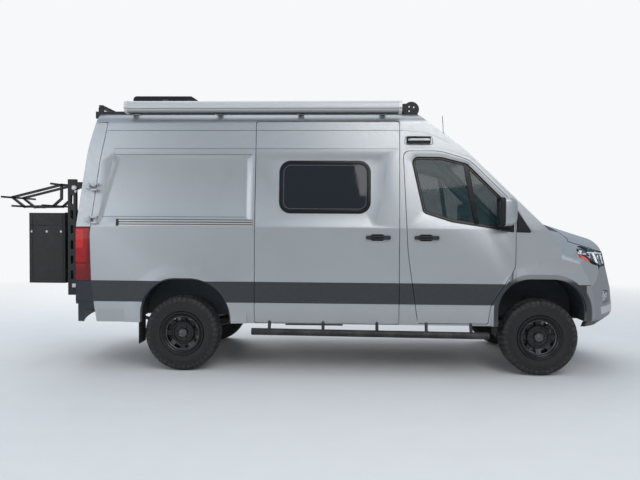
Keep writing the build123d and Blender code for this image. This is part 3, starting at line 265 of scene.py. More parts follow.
def plastic(name, colour, roughness=0.6, grain=900.0, depth=0.25, dirt=0.3):
    mat = Material(name, roughness=roughness, ior=1.32 if max(colour) < 0.05 else 1.5)
    mat.colour(mat.mix(mat.cloud(0.35, 0.7, grain / 3), tint(colour, 0.75), tint(colour, 1.3, 0.004)), dirt)
    mat.rough(25.0, 4.0, roughness - 0.08, roughness + 0.1)
    mat.bump(mat.cells(grain), depth, 0.0006)
    return mat.made


def metal(name, colour, roughness=0.4, metallic=1.0, grain=300.0, depth=0.08, dirt=0.3):
    mat = Material(name, metallic=metallic, roughness=roughness)
    cloud = mat.cloud(0.3, 0.7, 9.0, 5.0)
    mat.colour(mat.mix(cloud, tint(colour, 0.8), colour), dirt)
    mat.rough(40.0, 5.0, roughness - 0.07, roughness + 0.12)
    mat.bump(mat.noise(grain, 4.0), depth, 0.0006)
    return mat.made


def glass(name, colour, alpha):
    mat = Material(name, roughness=0.03, ior=1.5, alpha=alpha)
    smear = mat.cloud(0.35, 0.75, 6.0, 5.0, 0.6, (1, 1, 3))
    mat.colour(mat.mix(smear, colour, tint(colour, 1.5, 0.004)))
    mat.set("Roughness", mat.ramp(smear, 0.0, 1.0, 0.02, 0.07))
    mat.made.surface_render_method = "BLENDED"
    return mat.made


def cab_glass():
    """Green-tinted glass that is nearly black at the side windows of the load space."""
    mat = Material("glass_fixed", roughness=0.03, ior=1.5)
    smear = mat.cloud(0.35, 0.75, 6.0, 5.0, 0.6, (1, 1, 3))
    private = mat.fall(mat.axis(0), AXLE_X - 1.72, AXLE_X - 1.70)
    tone = mat.mix(smear, CABIN_GLASS, (0.024, 0.052, 0.058))
    mat.colour(mat.mix(private, tone, (0.006, 0.01, 0.014)))
    mat.set("Alpha", mat.ramp(private, 0.0, 1.0, CABIN_ALPHA, PRIVACY_ALPHA))
    mat.set("Roughness", mat.ramp(smear, 0.0, 1.0, 0.02, 0.06))
    mat.made.surface_render_method = "BLENDED"
    return mat.made


def rubber(name, colour, roughness=0.75, dust=0.5):
    mat = Material(name, roughness=roughness)
    cloud = mat.cloud(0.4, 0.75, 14.0, 6.0, 0.7)
    mat.colour(mat.mix(cloud, colour, tint(colour, 1.0, 0.045 * dust)))
    mat.rough(40.0, 4.0, roughness - 0.1, roughness + 0.08)
    mat.bump(mat.noise(500.0), 0.25, 0.0006)
    return mat.made


def glow(name, colour, strength):
    """Bright lens with fine flutes, which gives off a little light."""
    mat = Material(name, roughness=0.25, coat_weight=0.6, emission_strength=strength)
    flutes = mat.bands(60.0, "X")
    mat.colour(mat.mix(flutes, colour, tint(colour, 0.8)))
    mat.set("Emission Color", mat.mix(flutes, colour, tint(colour, 0.6)))
    mat.bump(flutes, 0.3)
    return mat.made


def tail_lens():
    """Red lens with a pale upper field, a dark lower edge and fine flutes."""
    mat = Material("lens_red", roughness=0.12, coat_weight=0.3, coat_roughness=0.03, ior=1.3)
    flutes = mat.bands(26.0, "Z")
    pale = mat.mix(mat.cells(160.0), (0.45, 0.008, 0.01), (0.56, 0.03, 0.03))
    lean = mat.math("SUBTRACT", mat.axis(0), mat.times(mat.axis(2), 0.08))
    front = mat.ramp(lean, AXLE_X - 4.765, AXLE_X - 4.74)
    low = mat.fall(mat.axis(2), 1.06, 1.1)
    mat.colour(mat.layers(
        mat.mix(flutes, (0.27, 0.002, 0.003), (0.4, 0.005, 0.006)),
        (mat.box(x=(-4800, -4690), z=(1270, 1462), soft=0.003), pale),
        (mat.times(front, 0.85), (0.11, 0.004, 0.006)), (mat.times(low, 0.8), (0.14, 0.006, 0.008)),
        (mat.box(x=(-4800, -4660), z=(1105, 1118), soft=0.002), (0.03, 0.004, 0.004)),
        (mat.most(mat.box(z=(1472, 1500)), mat.box(z=(900, 934))), (0.03, 0.004, 0.004))))
    mat.rough(20.0, 3.0, 0.08, 0.16)
    mat.bump(flutes, 0.25, 0.0015)
    return mat.made


def bumper_paint():
    """Grained grey plastic, paler at the corner below the lamp, with a dark lower lip."""
    mat = Material("bumper_two_tone", roughness=0.55)
    grain = mat.cloud(0.35, 0.7, 280.0)
    dark = mat.most(mat.fall(mat.axis(2), 0.562, 0.57),
                    mat.box(x=(-700, 520), y=(1012.8, PAST_SIDE), z=(400, 980)))
    silver_lip = mat.box(x=(560, 1100), y=(430, 900), z=(628, 702), soft=0.002)
    mat.colour(mat.layers(
        mat.mix(grain, (0.22, 0.225, 0.23), (0.27, 0.275, 0.28)),
        (dark, mat.mix(grain, (0.03, 0.033, 0.036), (0.045, 0.048, 0.052))),
        (silver_lip, (0.5, 0.51, 0.52))), 0.25)
    mat.rough(25.0, 4.0, 0.45, 0.62)
    mat.bump(mat.cells(1100.0), 0.2, 0.0005)
    return mat.made


def cowl_paint():
    """Grained black between the wing tops, silver at its two outer ends."""
    mat = Material("cowl_two_tone", roughness=0.45)
    grain = mat.cloud(0.35, 0.7, 280.0)
    ends = mat.box(y=(590, PAST_SIDE))
    mat.colour(mat.mix(ends, mat.mix(grain, (0.01, 0.01, 0.011), (0.018, 0.018, 0.019)),
                       mat.mix(grain, (0.41, 0.42, 0.425), (0.44, 0.45, 0.455))))
    mat.set("Metallic", mat.ramp(ends, 0.0, 1.0, 0.0, 0.6))
    mat.bump(mat.cells(900.0), 0.1, 0.0004)
    return mat.made


def awning_case():
    """Pale metal case with painted shade on its lower side, fine lengthwise lines, and black under its front
    lip, partly the dark bracket and partly painted shadow.
    """
    mat = Material("awning_extrusion", metallic=0.3, roughness=0.42)
    cloud = mat.noise(4.0, stretch=(0.2, 1, 1))
    caps = mat.most(mat.box(x=(-4262, -4228)), mat.box(x=(-1445, -1410)))
    mat.colour(mat.layers(
        mat.mix(cloud, (0.5, 0.505, 0.51), (0.58, 0.585, 0.585)),
        # painted shade: the lower side of the case is darker
        (mat.fall(mat.axis(2), 2.668, 2.7), (0.3, 0.305, 0.31)),
        # black under the front lip: partly the dark bracket, partly painted shadow
        (mat.box(z=(2640, 2668)), (0.015, 0.015, 0.015)), (caps, (0.66, 0.66, 0.64))))
    mat.rough(40.0, 4.0, 0.36, 0.5)
    mat.bump(mat.noise(160.0, 3.0, 0.5, (0.05, 1, 1)), 0.08, 0.0006)
    return mat.made


def weave_cloth():
    """Woven seat cloth with a fine twill and a soft nap."""
    mat = Material("seat_weave", roughness=0.9, sheen_weight=0.4)
    thread = mat.times(mat.bands(260.0, "DIAGONAL"), mat.bands(260.0, "Z"))
    cloud = mat.noise(9.0, 4.0)
    tone = mat.mix(thread, (0.018, 0.018, 0.02), (0.05, 0.05, 0.054))
    mat.colour(mat.mix(mat.ramp(cloud, 0.3, 0.8, 0.0, 0.4), tone, (0.035, 0.036, 0.04)))
    mat.set("Roughness", mat.ramp(cloud, 0.3, 0.7, 0.8, 0.95))
    mat.bump(thread, 0.5, 0.0008)
    return mat.made


look = {
    "paint": paint("paint_silver", masked=True),
    "roof_paint": paint("paint_roof"),
    "bronze": metal("trim_bronze", (0.16, 0.13, 0.1), 0.35, 0.6, 500.0, 0.05, 0.0),
    "seal_grey": plastic("seal_grey", (0.085, 0.09, 0.095), 0.45, 900.0, 0.1, 0.0),
    "chrome": metal("lamp_chrome", (0.75, 0.76, 0.78), 0.12, 1.0, 60.0, 0.02, 0.0),
    "lamp_dark": plastic("lamp_dark", (0.07, 0.1, 0.14), 0.16, 400.0, 0.1, 0.0),
    "lamp_white": glow("lamp_white", (0.85, 0.88, 0.9), 0.35),
    "lamp_orange": glow("lamp_orange", (0.75, 0.09, 0.04), 0.25),
    "mirror": metal("mirror_silver", (0.6, 0.65, 0.7), 0.05, 1.0, 20.0, 0.01, 0.0),
    "wheel_bright": metal("wheel_fittings", (0.1, 0.105, 0.11), 0.25, 0.7, 400.0, 0.05, 0.02),
    "disc": metal("brake_steel", (0.3, 0.29, 0.28), 0.35, 1.0, 80.0, 0.1, 0.2),
    "trim": plastic("trim_black", (0.012, 0.012, 0.013), 0.5),
    "gloss_black": plastic("gloss_black", (0.008, 0.008, 0.009), 0.18, 1500.0, 0.03, 0.0),
    "bumper": bumper_paint(),
    "bumper_dark": plastic("bumper_dark", (0.03, 0.036, 0.042), 0.55, 1100.0, 0.25),
    "cowl": cowl_paint(),
    "case": awning_case(),
    "cap": plastic("awning_cap", (0.62, 0.62, 0.6), 0.5, 900.0, 0.1, 0.0),
    "black_metal": metal("black_powder", (0.014, 0.014, 0.015), 0.45, 0.2, 900.0, 0.25),
    "wheel": metal("wheel_black", (0.011, 0.012, 0.013), 0.28, 0.35, 600.0, 0.08, 0.08),
    "steel": metal("frame_steel", (0.02, 0.02, 0.021), 0.55, 0.3, 200.0, 0.25, 0.9),
    "cast": metal("cast_parts", (0.1, 0.098, 0.095), 0.6, 0.6, 250.0, 0.5, 0.8),
    "zinc": metal("zinc_steel", (0.55, 0.55, 0.54), 0.3, 1.0, 200.0, 0.05, 0.0),
    "exhaust": metal("exhaust_steel", (0.3, 0.27, 0.24), 0.4, 1.0, 120.0, 0.1, 0.7),
    # The casing's black is made darker than the tread's as painted shade in the grooves between the blocks;
    # the tread also carries more dust.
    "tyre": rubber("tyre_rubber_groove_shade", (0.006, 0.006, 0.007), 0.62, 0.06),
    "tread": rubber("tyre_tread", (0.014, 0.014, 0.014), 0.68, 0.7),
    "flap": rubber("flap_rubber", (0.016, 0.016, 0.016)),
    "cab_glass": cab_glass(),
    "door_glass": glass("glass_doors", CABIN_GLASS, CABIN_ALPHA),
    "dark_glass": glass("glass_privacy", (0.006, 0.009, 0.013), PRIVACY_ALPHA),
    "lamp_clear": glass("lamp_clear", (0.3, 0.33, 0.36), 0.05),
    "lamp_red": tail_lens(),
    "dash": plastic("dash_plastic", (0.02, 0.02, 0.022)),
    "cloth": weave_cloth(),
}
node_looks = {
    "paint": "side_panels front_wings sliding_door cab_door_left cab_door_right rear_door_left "
             "rear_door_right",
    "roof_paint": "roof_panel bonnet",
    "cab_glass": "fixed_glass",
    "door_glass": "door_glass_left door_glass_right",
    "dark_glass": "rear_glass_left rear_glass_right",
    "bumper": "front_bumper",
    "bumper_dark": "rear_bumper wheel_housings",
    "trim": "grille side_lamps mirror_left mirror_right roof_unit fuel_tank",
    "cowl": "cowl",
    "lamp_clear": "headlamps",
    "lamp_red": "tail_lamps",
    "case": "awning",
    "black_metal": "roof_rack carrier_frame storage_box bike_rack side_steps",
    "flap": "mud_flaps",
    "steel": "floor_pan front_wall underframe",
    "cast": "axles driveline engine_block knuckle_left knuckle_right",
    "exhaust": "exhaust",
    "dash": "dashboard steering_wheel",
    "cloth": "cab_seats",
    "tyre": "tyre_front_left tyre_front_right tyre_rear_left tyre_rear_right",
    "wheel": "rim_front_left rim_front_right rim_rear_left rim_rear_right",
}


def smoothing_group():
    """Welds the facets of a CAD node and shades them smooth up to a fixed angle."""
    group = bpy.data.node_groups.new("smooth_by_angle", "GeometryNodeTree")
    for way in ("INPUT", "OUTPUT"):
        group.interface.new_socket("Geometry", in_out=way, socket_type="NodeSocketGeometry")
    tree = Nodes(group)
    weld = tree.node("GeometryNodeMergeByDistance",
                     {"Geometry": tree.node("NodeGroupInput").outputs[0], "Distance": 0.00002})
    faces = tree.node("GeometryNodeSetShadeSmooth", {"Geometry": weld.outputs[0]}, domain="FACE")
    angle = tree.node("GeometryNodeInputMeshEdgeAngle").outputs["Unsigned Angle"]
    under = tree.node("FunctionNodeCompare", (angle, SMOOTH_BELOW), operation="LESS_THAN").outputs[0]
    edges = tree.node("GeometryNodeSetShadeSmooth", {"Geometry": faces.outputs[0], "Shade Smooth": under},
                      domain="EDGE")
    tree.node("NodeGroupOutput", [edges.outputs[0]])
    return group


smoothing = smoothing_group()
for look_name, names in node_looks.items():
    for name in names.split():
        nodes[name].data.materials.clear()
        nodes[name].data.materials.append(look[look_name])
        nodes[name].modifiers.new("smooth", "NODES").node_group = smoothing


# outlines, in millimetres
def rounded(points, radii, steps=6, spacing=35.0):
    """Closed outline with rounded corners and extra points along its straight runs."""
    if not isinstance(radii, (list, tuple)):
        radii = [radii] * len(points)
    corners = []
    for index, radius in enumerate(radii):
        here = Vector(points[index])
        back = Vector(points[index - 1]) - here
        ahead = Vector(points[(index + 1) % len(points)]) - here
        half = back.angle(ahead) / 2
        cut = min(radius / math.tan(half), 0.48 * min(back.length, ahead.length))
        if cut < 0.01:
            corners.append(here)
            continue
        start, end = here + back.normalized() * cut, here + ahead.normalized() * cut
        middle = here + (back.normalized() + ahead.normalized()).normalized() * cut / math.cos(half)
        first = math.atan2(*(start - middle).yx)
        turn = (math.atan2(*(end - middle).yx) - first + math.pi) % math.tau - math.pi
        size = (start - middle).length
        for step in range(steps + 1):
            angle = first + turn * step / steps
            corners.append(middle + vec(math.cos(angle), math.sin(angle)) * size)
    result = []
    for start, end in zip(corners, corners[1:] + corners[:1]):
        count = max(1, int((end - start).length / spacing)) if spacing else 1
        result.extend(start.lerp(end, step / count) for step in range(count))
    return result


def oblong(low_u, high_u, low_v, high_v):
    return [(low_u, low_v), (high_u, low_v), (high_u, high_v), (low_u, high_v)]


def divided(points, count):
    """Closed outline with each of its runs divided into equal steps."""
    line = [Vector(point) for point in points]
    return [start.lerp(end, step / count) for start, end in zip(line, line[1:] + line[:1])
            for step in range(count)]


def middle_of(outline):
    return sum((Vector(point) for point in outline), vec(0, 0)) / len(outline)


def shifted(outline, inward):
    """The outline moved in by a distance, for outlines that run counter-clockwise."""
    result = []
    for index, here in enumerate(outline):
        along = (outline[(index + 1) % len(outline)] - outline[index - 1]).normalized()
        result.append(here + vec(-along.y, along.x) * inward)
    return result


def heading(line, index):
    """Direction of a line at one of its points."""
    return (line[min(index + 1, len(line) - 1)] - line[max(index - 1, 0)]).normalized()


def strip(points, width):
    """Outline of a strip of even width along a line."""
    line = [Vector(point) for point in points]
    sides = ([], [])
    for index, here in enumerate(line):
        along = heading(line, index)
        across = vec(-along.y, along.x) * width / 2
        sides[0].append(here - across)
        sides[1].append(here + across)
    return sides[0] + sides[1][::-1]


# maps from an outline's two numbers to a spot on the bodywork and the direction out of it
RAY_START, FRONT_REACH = 1600, 3100
REAR_START, REAR_REACH = -6400, 1700
NOSE_START, NOSE_REACH = 2000, 810
MISS_LIMIT = 70


def skin(*names):
    points, faces = [], []
    for name in names:
        mesh = nodes[name].data
        start = len(points)
        points.extend(in_mm(vertex.co) for vertex in mesh.vertices)
        faces.extend([index + start for index in face.vertices] for face in mesh.polygons)
    return BVHTree.FromPolygons(points, faces)


def ray_map(names, ray_of):
    """ray_of gives the start and direction of a ray, and how far off the bodywork should lie."""
    tree = skin(*names)

    def spot_of(u, v):
        start, way, reach = ray_of(u, v)
        spot, normal, _, _ = tree.ray_cast(start, way)
        if spot is None or (spot - start).dot(way) > reach + MISS_LIMIT:
            return start + way * reach, -way
        return spot, normal if normal.dot(way) < 0 else -normal
    return spot_of


def side_map(sign, *names):
    """u is x and v is z, seen from the side; sign is -1 for the right side."""
    return ray_map(names, lambda x, z: (vec(x, sign * RAY_START, z), vec(0, -sign, 0), RAY_START - side_y(z)))


def front_map(*names):
    return ray_map(names, lambda y, z: (vec(RAY_START, y, z), vec(-1, 0, 0), FRONT_REACH))


def rear_map(*names):
    return ray_map(names, lambda y, z: (vec(REAR_START, y, z), vec(1, 0, 0), REAR_REACH))


def level_way(angle, sign):
    angle = math.radians(angle)
    return vec(math.cos(angle), sign * math.sin(angle), 0)


def nose_map(sign, *names):
    """u is the angle from straight ahead, in degrees, and v is z."""
    def ray_of(angle, z):
        way = level_way(angle, sign)
        return vec(NOSE_AXIS_X, 0, z) + way * NOSE_START, -way, NOSE_REACH
    return ray_map(names, ray_of)


def on_skin(to_skin, outline, lift):
    spots = [to_skin(*point) for point in outline]
    return [spot + normal * lift for spot, normal in spots]


# shapes as (points, faces)
def weave(loops, caps=False):
    count = len(loops[0])
    points = [point for loop in loops for point in loop]
    faces = []
    for row in range(len(loops) - 1):
        for index in range(count):
            first, second = row * count + index, row * count + (index + 1) % count
            faces.append((first, second, second + count, first + count))
    if caps:
        faces.append(tuple(range(count))[::-1])
        faces.append(tuple(range(len(points) - count, len(points))))
    return points, faces


def ring(to_skin, outline, profile):
    """Closed strip along an outline; profile lists how far in and how high each of its lines lies."""
    return weave([on_skin(to_skin, shifted(outline, inward), lift) for inward, lift in profile])


def patch(to_skin, outline, lift, edge=3.0):
    """Filled plate on the bodywork with a rounded edge."""
    middle, inner = middle_of(outline), shifted(outline, edge)
    rims = [(outline, -2.0), (outline, lift * 0.6), (inner, lift)]
    for share in (0.75, 0.45, 0.15):
        rims.append(([middle + (point - middle) * share for point in inner], lift))
    points, faces = weave([on_skin(to_skin, rim, height) for rim, height in rims])
    count = len(outline)
    base = len(points) - count
    faces.extend((base + index, base + (index + 1) % count, len(points)) for index in range(count))
    return points + on_skin(to_skin, [middle], lift), faces


def circle(centre, side, other, radius, count):
    angles = [math.tau * index / count for index in range(count)]
    return [centre + (side * math.cos(angle) + other * math.sin(angle)) * radius for angle in angles]


def lathe(profile, centre=(0, 0, 0), axis=(0, 1, 0), segments=48):
    """Turned shape from (along, radius) pairs about an axis through centre."""
    way = Vector(axis).normalized()
    side = way.orthogonal().normalized()
    other = way.cross(side)
    return weave([circle(Vector(centre) + way * along, side, other, radius, segments)
                  for along, radius in profile])


def slab(x, y, z, edge=3.0, taper=0.0):
    """Block with softened edges; taper narrows its top."""
    (x0, x1), (y0, y1), (z0, z1) = x, y, z
    loops = []
    for height, inset in ((z0, edge), (z0 + edge, 0), (z1 - edge, taper), (z1, taper + edge)):
        corners = oblong(x0 + inset, x1 - inset, y0 + inset, y1 - inset)
        loops.append([vec(*point, height) for point in rounded(corners, edge * 1.5, 3, None)])
    return weave(loops, caps=True)


def tube(points, radius, sides=12, per_run=6):
    """Round bar on a smooth line through the points."""
    line = [Vector(point) for point in points]
    ends = [line[0] * 2 - line[1]] + line + [line[-1] * 2 - line[-2]]
    path = []
    for index in range(len(line) - 1):
        p0, p1, p2, p3 = ends[index:index + 4]
        for step in range(per_run if len(line) > 2 else 1):
            t = step / per_run
            path.append(0.5 * (2 * p1 + (p2 - p0) * t + (2 * p0 - 5 * p1 + 4 * p2 - p3) * t * t
                               + (3 * p1 - p0 - 3 * p2 + p3) * t ** 3))
    path.append(line[-1])
    across = (path[1] - path[0]).orthogonal().normalized()
    loops = []
    for index, here in enumerate(path):
        along = heading(path, index)
        across = (across - along * across.dot(along)).normalized()
        loops.append(circle(here, across, along.cross(across), radius, sides))
    return weave(loops, caps=True)


def bolts(spots, axis, size=6, height=5):
    """Hexagon heads on washers."""
    parts = []
    washer = [(0, size * 1.25), (1.5, size * 1.25), (1.8, size * 0.9)]
    head = [(1.5, size), (height - 1, size), (height, size * 0.8), (height, 0.5)]
    for spot in spots:
        parts += [lathe(washer, spot, axis, 20), lathe(head, spot, axis, 6)]
    return parts


def about(middle, half):
    return middle - half, middle + half


def add_object(name, data):
    made = bpy.data.objects.new(name, data)
    bpy.context.scene.collection.objects.link(made)
    return made


def piece(name, parts, material="trim", body="body", slot="trim", replaced=()):
    """Joins shapes given in millimetres into one object that rides on a body."""
    points, faces = [], []
    for part_points, part_faces in parts:
        start = len(points)
        points.extend(place(*point) for point in part_points)
        faces.extend([index + start for index in face] for face in part_faces)
    mesh = bpy.data.meshes.new(name)
    mesh.from_pydata(points, [], faces)
    work = bmesh.new()
    work.from_mesh(mesh)
    bmesh.ops.recalc_face_normals(work, faces=work.faces)
    work.to_mesh(mesh)
    work.free()
    mesh.materials.append(look[material])
    made = add_object(name, mesh)
    made.modifiers.new("smooth", "NODES").node_group = smoothing
    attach(made, body)
    if replaced:
        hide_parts(*replaced)
    return made


def facing(parts, sign, offset=(0, 0, 0)):
    """The same shapes on the left or right side, moved by an offset; they are drawn for the left."""
    return [([vec(p[0], sign * p[1], p[2]) + Vector(offset) for p in points], faces)
            for points, faces in parts]


# tyres with tread, and the fittings of the wheels
TREAD_PITCHES = 42
TREAD_STEP = math.tau / TREAD_PITCHES
TYRE_RIBS = 96
RIM_FACE = 46
NUT_CIRCLE = 65
DISC_FACE = -12
DISC_VANES = 24


def wheel_way(angle):
    return vec(math.cos(angle), 0, math.sin(angle))


def crown(t):
    """Radius of the tread at a distance from its middle line."""
    return AXLE_Z - 0.6 - 4.5 * (abs(t) / 100) ** 2


def tyre_spot(pitch, t, radius):
    """Spot on the tyre from its place around, in tread pitches, its distance sideways and its radius."""
    angle = pitch * TREAD_STEP
    return vec(radius * math.cos(angle), t, radius * math.sin(angle))


def tread_block(outline, pitch):
    """One block of the tread from an outline of pitch share and width."""
    middle = middle_of(outline)
    loops = []
    for sink, share in ((13.0, 1.06), (2.0, 1.0), (0.0, 0.93)):
        shape = [middle + (Vector(point) - middle) * share for point in outline]
        loops.append([tyre_spot(pitch + u, t, crown(t) - sink) for u, t in shape])
    return weave(loops, caps=True)


def shoulder_block(pitch, start, end, low, side):
    """Lug that wraps from the tread over the shoulder on to the sidewall."""
    loops = []
    for t, radius in ((66, crown(66)), (88, crown(88)), (101, 380.0), (112, 370.0), (118.5, 356.0),
                      (121.2, low)):
        around = [pitch + u + (0.06 if t > 110 else 0.0) for u in (start, end)]
        top = [tyre_spot(pitches, side * t, radius) for pitches in around]
        root = [tyre_spot(pitches, side * min(t, 117.0), radius - 12.0) for pitches in around]
        loops.append([root[0], *top, root[1]])
    return weave(loops, caps=True)


def tyre_parts():
    """The casing with its ribs, and the blocks of its tread."""
    half = [(97.5, 204.0), (101.0, 222.0), (109.0, 233.0), (112.5, 236.0), (113.5, 240.0), (112.8, 244.0),
            (116.5, 258.0), (118.6, 276.0), (119.0, 290.0), (120.6, 291.5), (120.6, 294.0), (119.0, 296.0),
            (119.0, 318.0), (120.4, 319.5), (120.4, 322.0), (118.4, 324.0), (116.5, 342.0), (112.0, 355.0),
            (104.0, 366.0), (92.0, 372.0), (60.0, 373.6), (0.0, 375.0)]
    casing = [lathe(half + [(-t, r) for t, r in half[-2::-1]], segments=112)]
    for index in range(TYRE_RIBS):
        way = wheel_way(math.tau * index / TYRE_RIBS)
        across = vec(-way.z, 0, way.x) * 1.6
        for side in (1, -1):
            wall = vec(0, side * 119.2, 0)
            start, end = way * 299 + wall, way * 314 + wall
            foot = [start - across, start + across, end + across * 0.6, end - across * 0.6]
            casing.append(weave([foot, [point + vec(0, side * 1.4, 0) for point in foot]], caps=True))
    blocks = []
    for pitch in range(TREAD_PITCHES):
        odd = pitch % 2
        shift = 0.06 * odd
        for side in (1, -1):
            offset = pitch + (0.5 if side < 0 else 0.0)
            for outline in ([(0.04, 6), (0.5, 3), (0.74, 14), (0.66, 30), (0.2, 32), (-0.02, 20)],
                            [(0.3 + shift, 37), (0.86, 35), (0.98, 48), (0.9, 61), (0.36, 63),
                             (0.2 + shift, 50)]):
                blocks.append(tread_block([(u, side * t) for u, t in outline], offset))
            blocks.append(shoulder_block(offset, 0.06, 0.62 + shift, 334.0 if odd else 345.0, side))
            blocks.append(shoulder_block(offset, 0.70 + shift, 0.95, 356.0, side))
    return casing, blocks


def wheel_fittings():
    """Nuts, hub cap, rim lip and valve."""
    nut = [(0, 11.5), (2, 11.5), (3, 9.5), (24, 9.0), (28, 6.0), (29, 0.5)]
    cap = [(30, 42), (34.5, 43), (37, 40), (37.5, 34), (36, 32), (36.5, 18), (38.5, 15), (38.5, 0.5)]
    lip = [(6, 168), (9, 172), (9, 176), (6, 180)]
    valve = [(150, 60, 110), (155, 84, 114), (158, 96, 116)]
    parts = []
    for angle in range(0, 360, 60):
        spot = wheel_way(math.radians(angle)) * NUT_CIRCLE + vec(0, RIM_FACE - 9, 0)
        parts.append(lathe(nut, spot, segments=6))
    parts.append(lathe(cap, (0, RIM_FACE, 0)))
    parts.append(lathe(lip, (0, RIM_FACE + 22, 0), segments=72))
    return parts + [tube(valve, 4.5, 10)]


def brake_disc():
    bell = [(-38, 66), (-38, 164), (-30, 167), (-16, 167), (-12, 164), (-12, 86), (-3, 82), (-3, 72)]
    parts = [lathe(bell, segments=64)]
    for index in range(DISC_VANES):
        angle = math.tau * index / DISC_VANES
        vane = [wheel_way(angle) * 98, wheel_way(angle + 0.25) * 156]
        parts.append(tube([spot + vec(0, DISC_FACE, 0) for spot in vane], 2.2, 6))
    return parts


def brake_caliper():
    shape = rounded(oblong(112, 176, -58, 8), 12, 3, None)
    loops = [[wheel_way(math.radians(angle)) * point.x + vec(0, point.y, 0) for point in shape]
             for angle in range(150, 216, 6)]
    return [weave(loops, caps=True), slab((-150, -36), (-66, -40), (-26, 26), 6)]


casing_parts, tread_parts = tyre_parts()
for end, wheel_x in (("front", 0.0), ("rear", -WHEELBASE)):
    for side, sign in SIDES:
        name = end + "_" + side
        body = "wheel_" + name
        hub = (wheel_x, sign * WHEEL_Y, AXLE_Z)
        piece("tyre_casing_" + name, facing(casing_parts, 1, hub), "tyre", body, "rubber", ["tyre_" + name])
        piece("tyre_tread_" + name, facing(tread_parts, 1, hub), "tread", body, "rubber", ["tyre_" + name])
        parts = facing(wheel_fittings(), sign, hub)
        piece("wheel_fittings_" + name, parts, "wheel_bright", body, "wheel_paint")
        piece("brake_disc_" + name, facing(brake_disc(), sign, hub), "disc", body, "cast")
        carrier = "knuckle_" + side if end == "front" else "body"
        piece("brake_caliper_" + name, facing(brake_caliper(), sign, hub), "cast", carrier, "cast")

# seals and trims of the windows
cab_window = rounded([(-1185, 1650), (-900, 1560), (-345, 1475), (-332, 1735), (-745, 2152), (-1000, 2218),
                      (-1310, 2222)], [60, 300, 50, 60, 120, 300, 60])
side_window = rounded(oblong(-2643, -1740, 1656, 2163), 100)
rear_window = rounded([(130, 1560), (800, 1560), (770, 2150), (130, 2150)], 80)
seal_profile = [(-7, -4), (-5, 2.2), (1, 3.4), (9, 2.6), (12, 1.0), (26, 0.7), (28, -1)]
frame_profile = [(-20, -2), (-19, 5), (-15, 7), (-6, 7.5), (6, 5.5), (14, 4.5), (17, 1.0), (24, -1)]


def window_trims(side, sign):
    """Seals and lines around the glass of one side, and the trims beside the cab window."""
    cab_door, rear_door = "cab_door_" + side, "rear_door_" + side
    door = side_map(sign, cab_door, "door_glass_" + side)
    body_side = side_map(sign, "side_panels", "sliding_door", "front_wings", "fixed_glass")
    bar = rounded(strip([(-652, 1532), (-706, 1845), (-757, 2150)], 54), 4)
    piece("cab_window_seal_" + side, [ring(door, cab_window, seal_profile), patch(door, bar, 3.2)],
          "gloss_black", cab_door)
    piece("cab_window_line_" + side, [ring(door, cab_window, [(12, 1.2), (13, 2.4), (16, 2.4), (17, 1.2)])],
          "bronze", cab_door)
    plate = rounded([(-448, 1480), (-280, 1456), (-274, 1700), (-332, 1742), (-448, 1858)],
                    [4, 14, 10, 10, 4])
    piece("mirror_plate_" + side, [patch(door, plate, 4.0)], body=cab_door)
    tip = rounded([(-256, 1458), (-100, 1454), (-256, 1700)], [6, 14, 6])
    piece("pillar_trim_" + side, [patch(body_side, tip, 3.5)])
    piping = rounded(strip([(-86, 1452), (-172, 1588), (-262, 1722)], 7), 2)
    piece("pillar_piping_" + side, [patch(body_side, piping, 4.5, 1.5)], "zinc")
    piece("side_window_frame_" + side, [ring(body_side, side_window, frame_profile)], "gloss_black")
    line = [(26, 0.6), (27, 2.2), (31, 2.2), (32, 0.6)]
    piece("side_window_line_" + side, [ring(body_side, side_window, line)], "seal_grey")
    rear = rear_map(rear_door, "rear_glass_" + side)
    outline = rear_window if sign > 0 else [vec(-p.x, p.y) for p in rear_window][::-1]
    piece("rear_window_seal_" + side, [ring(rear, outline, seal_profile)], "gloss_black", rear_door)


for side, sign in SIDES:
    window_trims(side, sign)

# door handles
HANDLE_Z = 1396
GRIP_STEPS = 8
for name, sign, x, body in (("left", 1, -1153, "cab_door_left"), ("right", -1, -1153, "cab_door_right"),
                            ("right_slide", -1, -1643, "body")):
    # The gloss black lining of each handle's cup is painted shadow around the grip; the lining comes with the
    # two feet that hold the grip.
    cup = rounded(oblong(x - 84, x + 66, HANDLE_Z - 34, HANDLE_Z + 34), 34, 8, 20)
    loops = []
    for inward in (0, 6, 18, 30):
        y = sign * (SIDE_HALF + 1.2 - min(inward, 10) * 1.2)
        loops.append([vec(point.x, y, point.y) for point in shifted(cup, inward)])
    parts = [weave(loops, caps=True)]
    for end_x, half in ((x - 108, 15), (x + 104, 19)):
        foot = [(SIDE_HALF - 2, half), (SIDE_HALF + 14, half * 0.94)]
        parts.append(lathe(foot, (end_x, 0, HANDLE_Z), (0, sign, 0), 24))
    piece("handle_feet_and_cup_shade_" + name, parts, "gloss_black", body)
    loops = []
    for index in range(GRIP_STEPS + 1):
        share = index / GRIP_STEPS
        size = 0.55 + 0.45 * math.sin(math.pi * min(share * 1.1 + 0.02, 1.0)) ** 0.5
        centre = vec(x - 124 + 248 * share, sign * (SIDE_HALF + 22), HANDLE_Z)
        loops.append(circle(centre, vec(0, sign * 9.5, 0), vec(0, 0, 24), size, 14))
    piece("handle_grip_" + name, [weave(loops, caps=True)], "gloss_black", body)

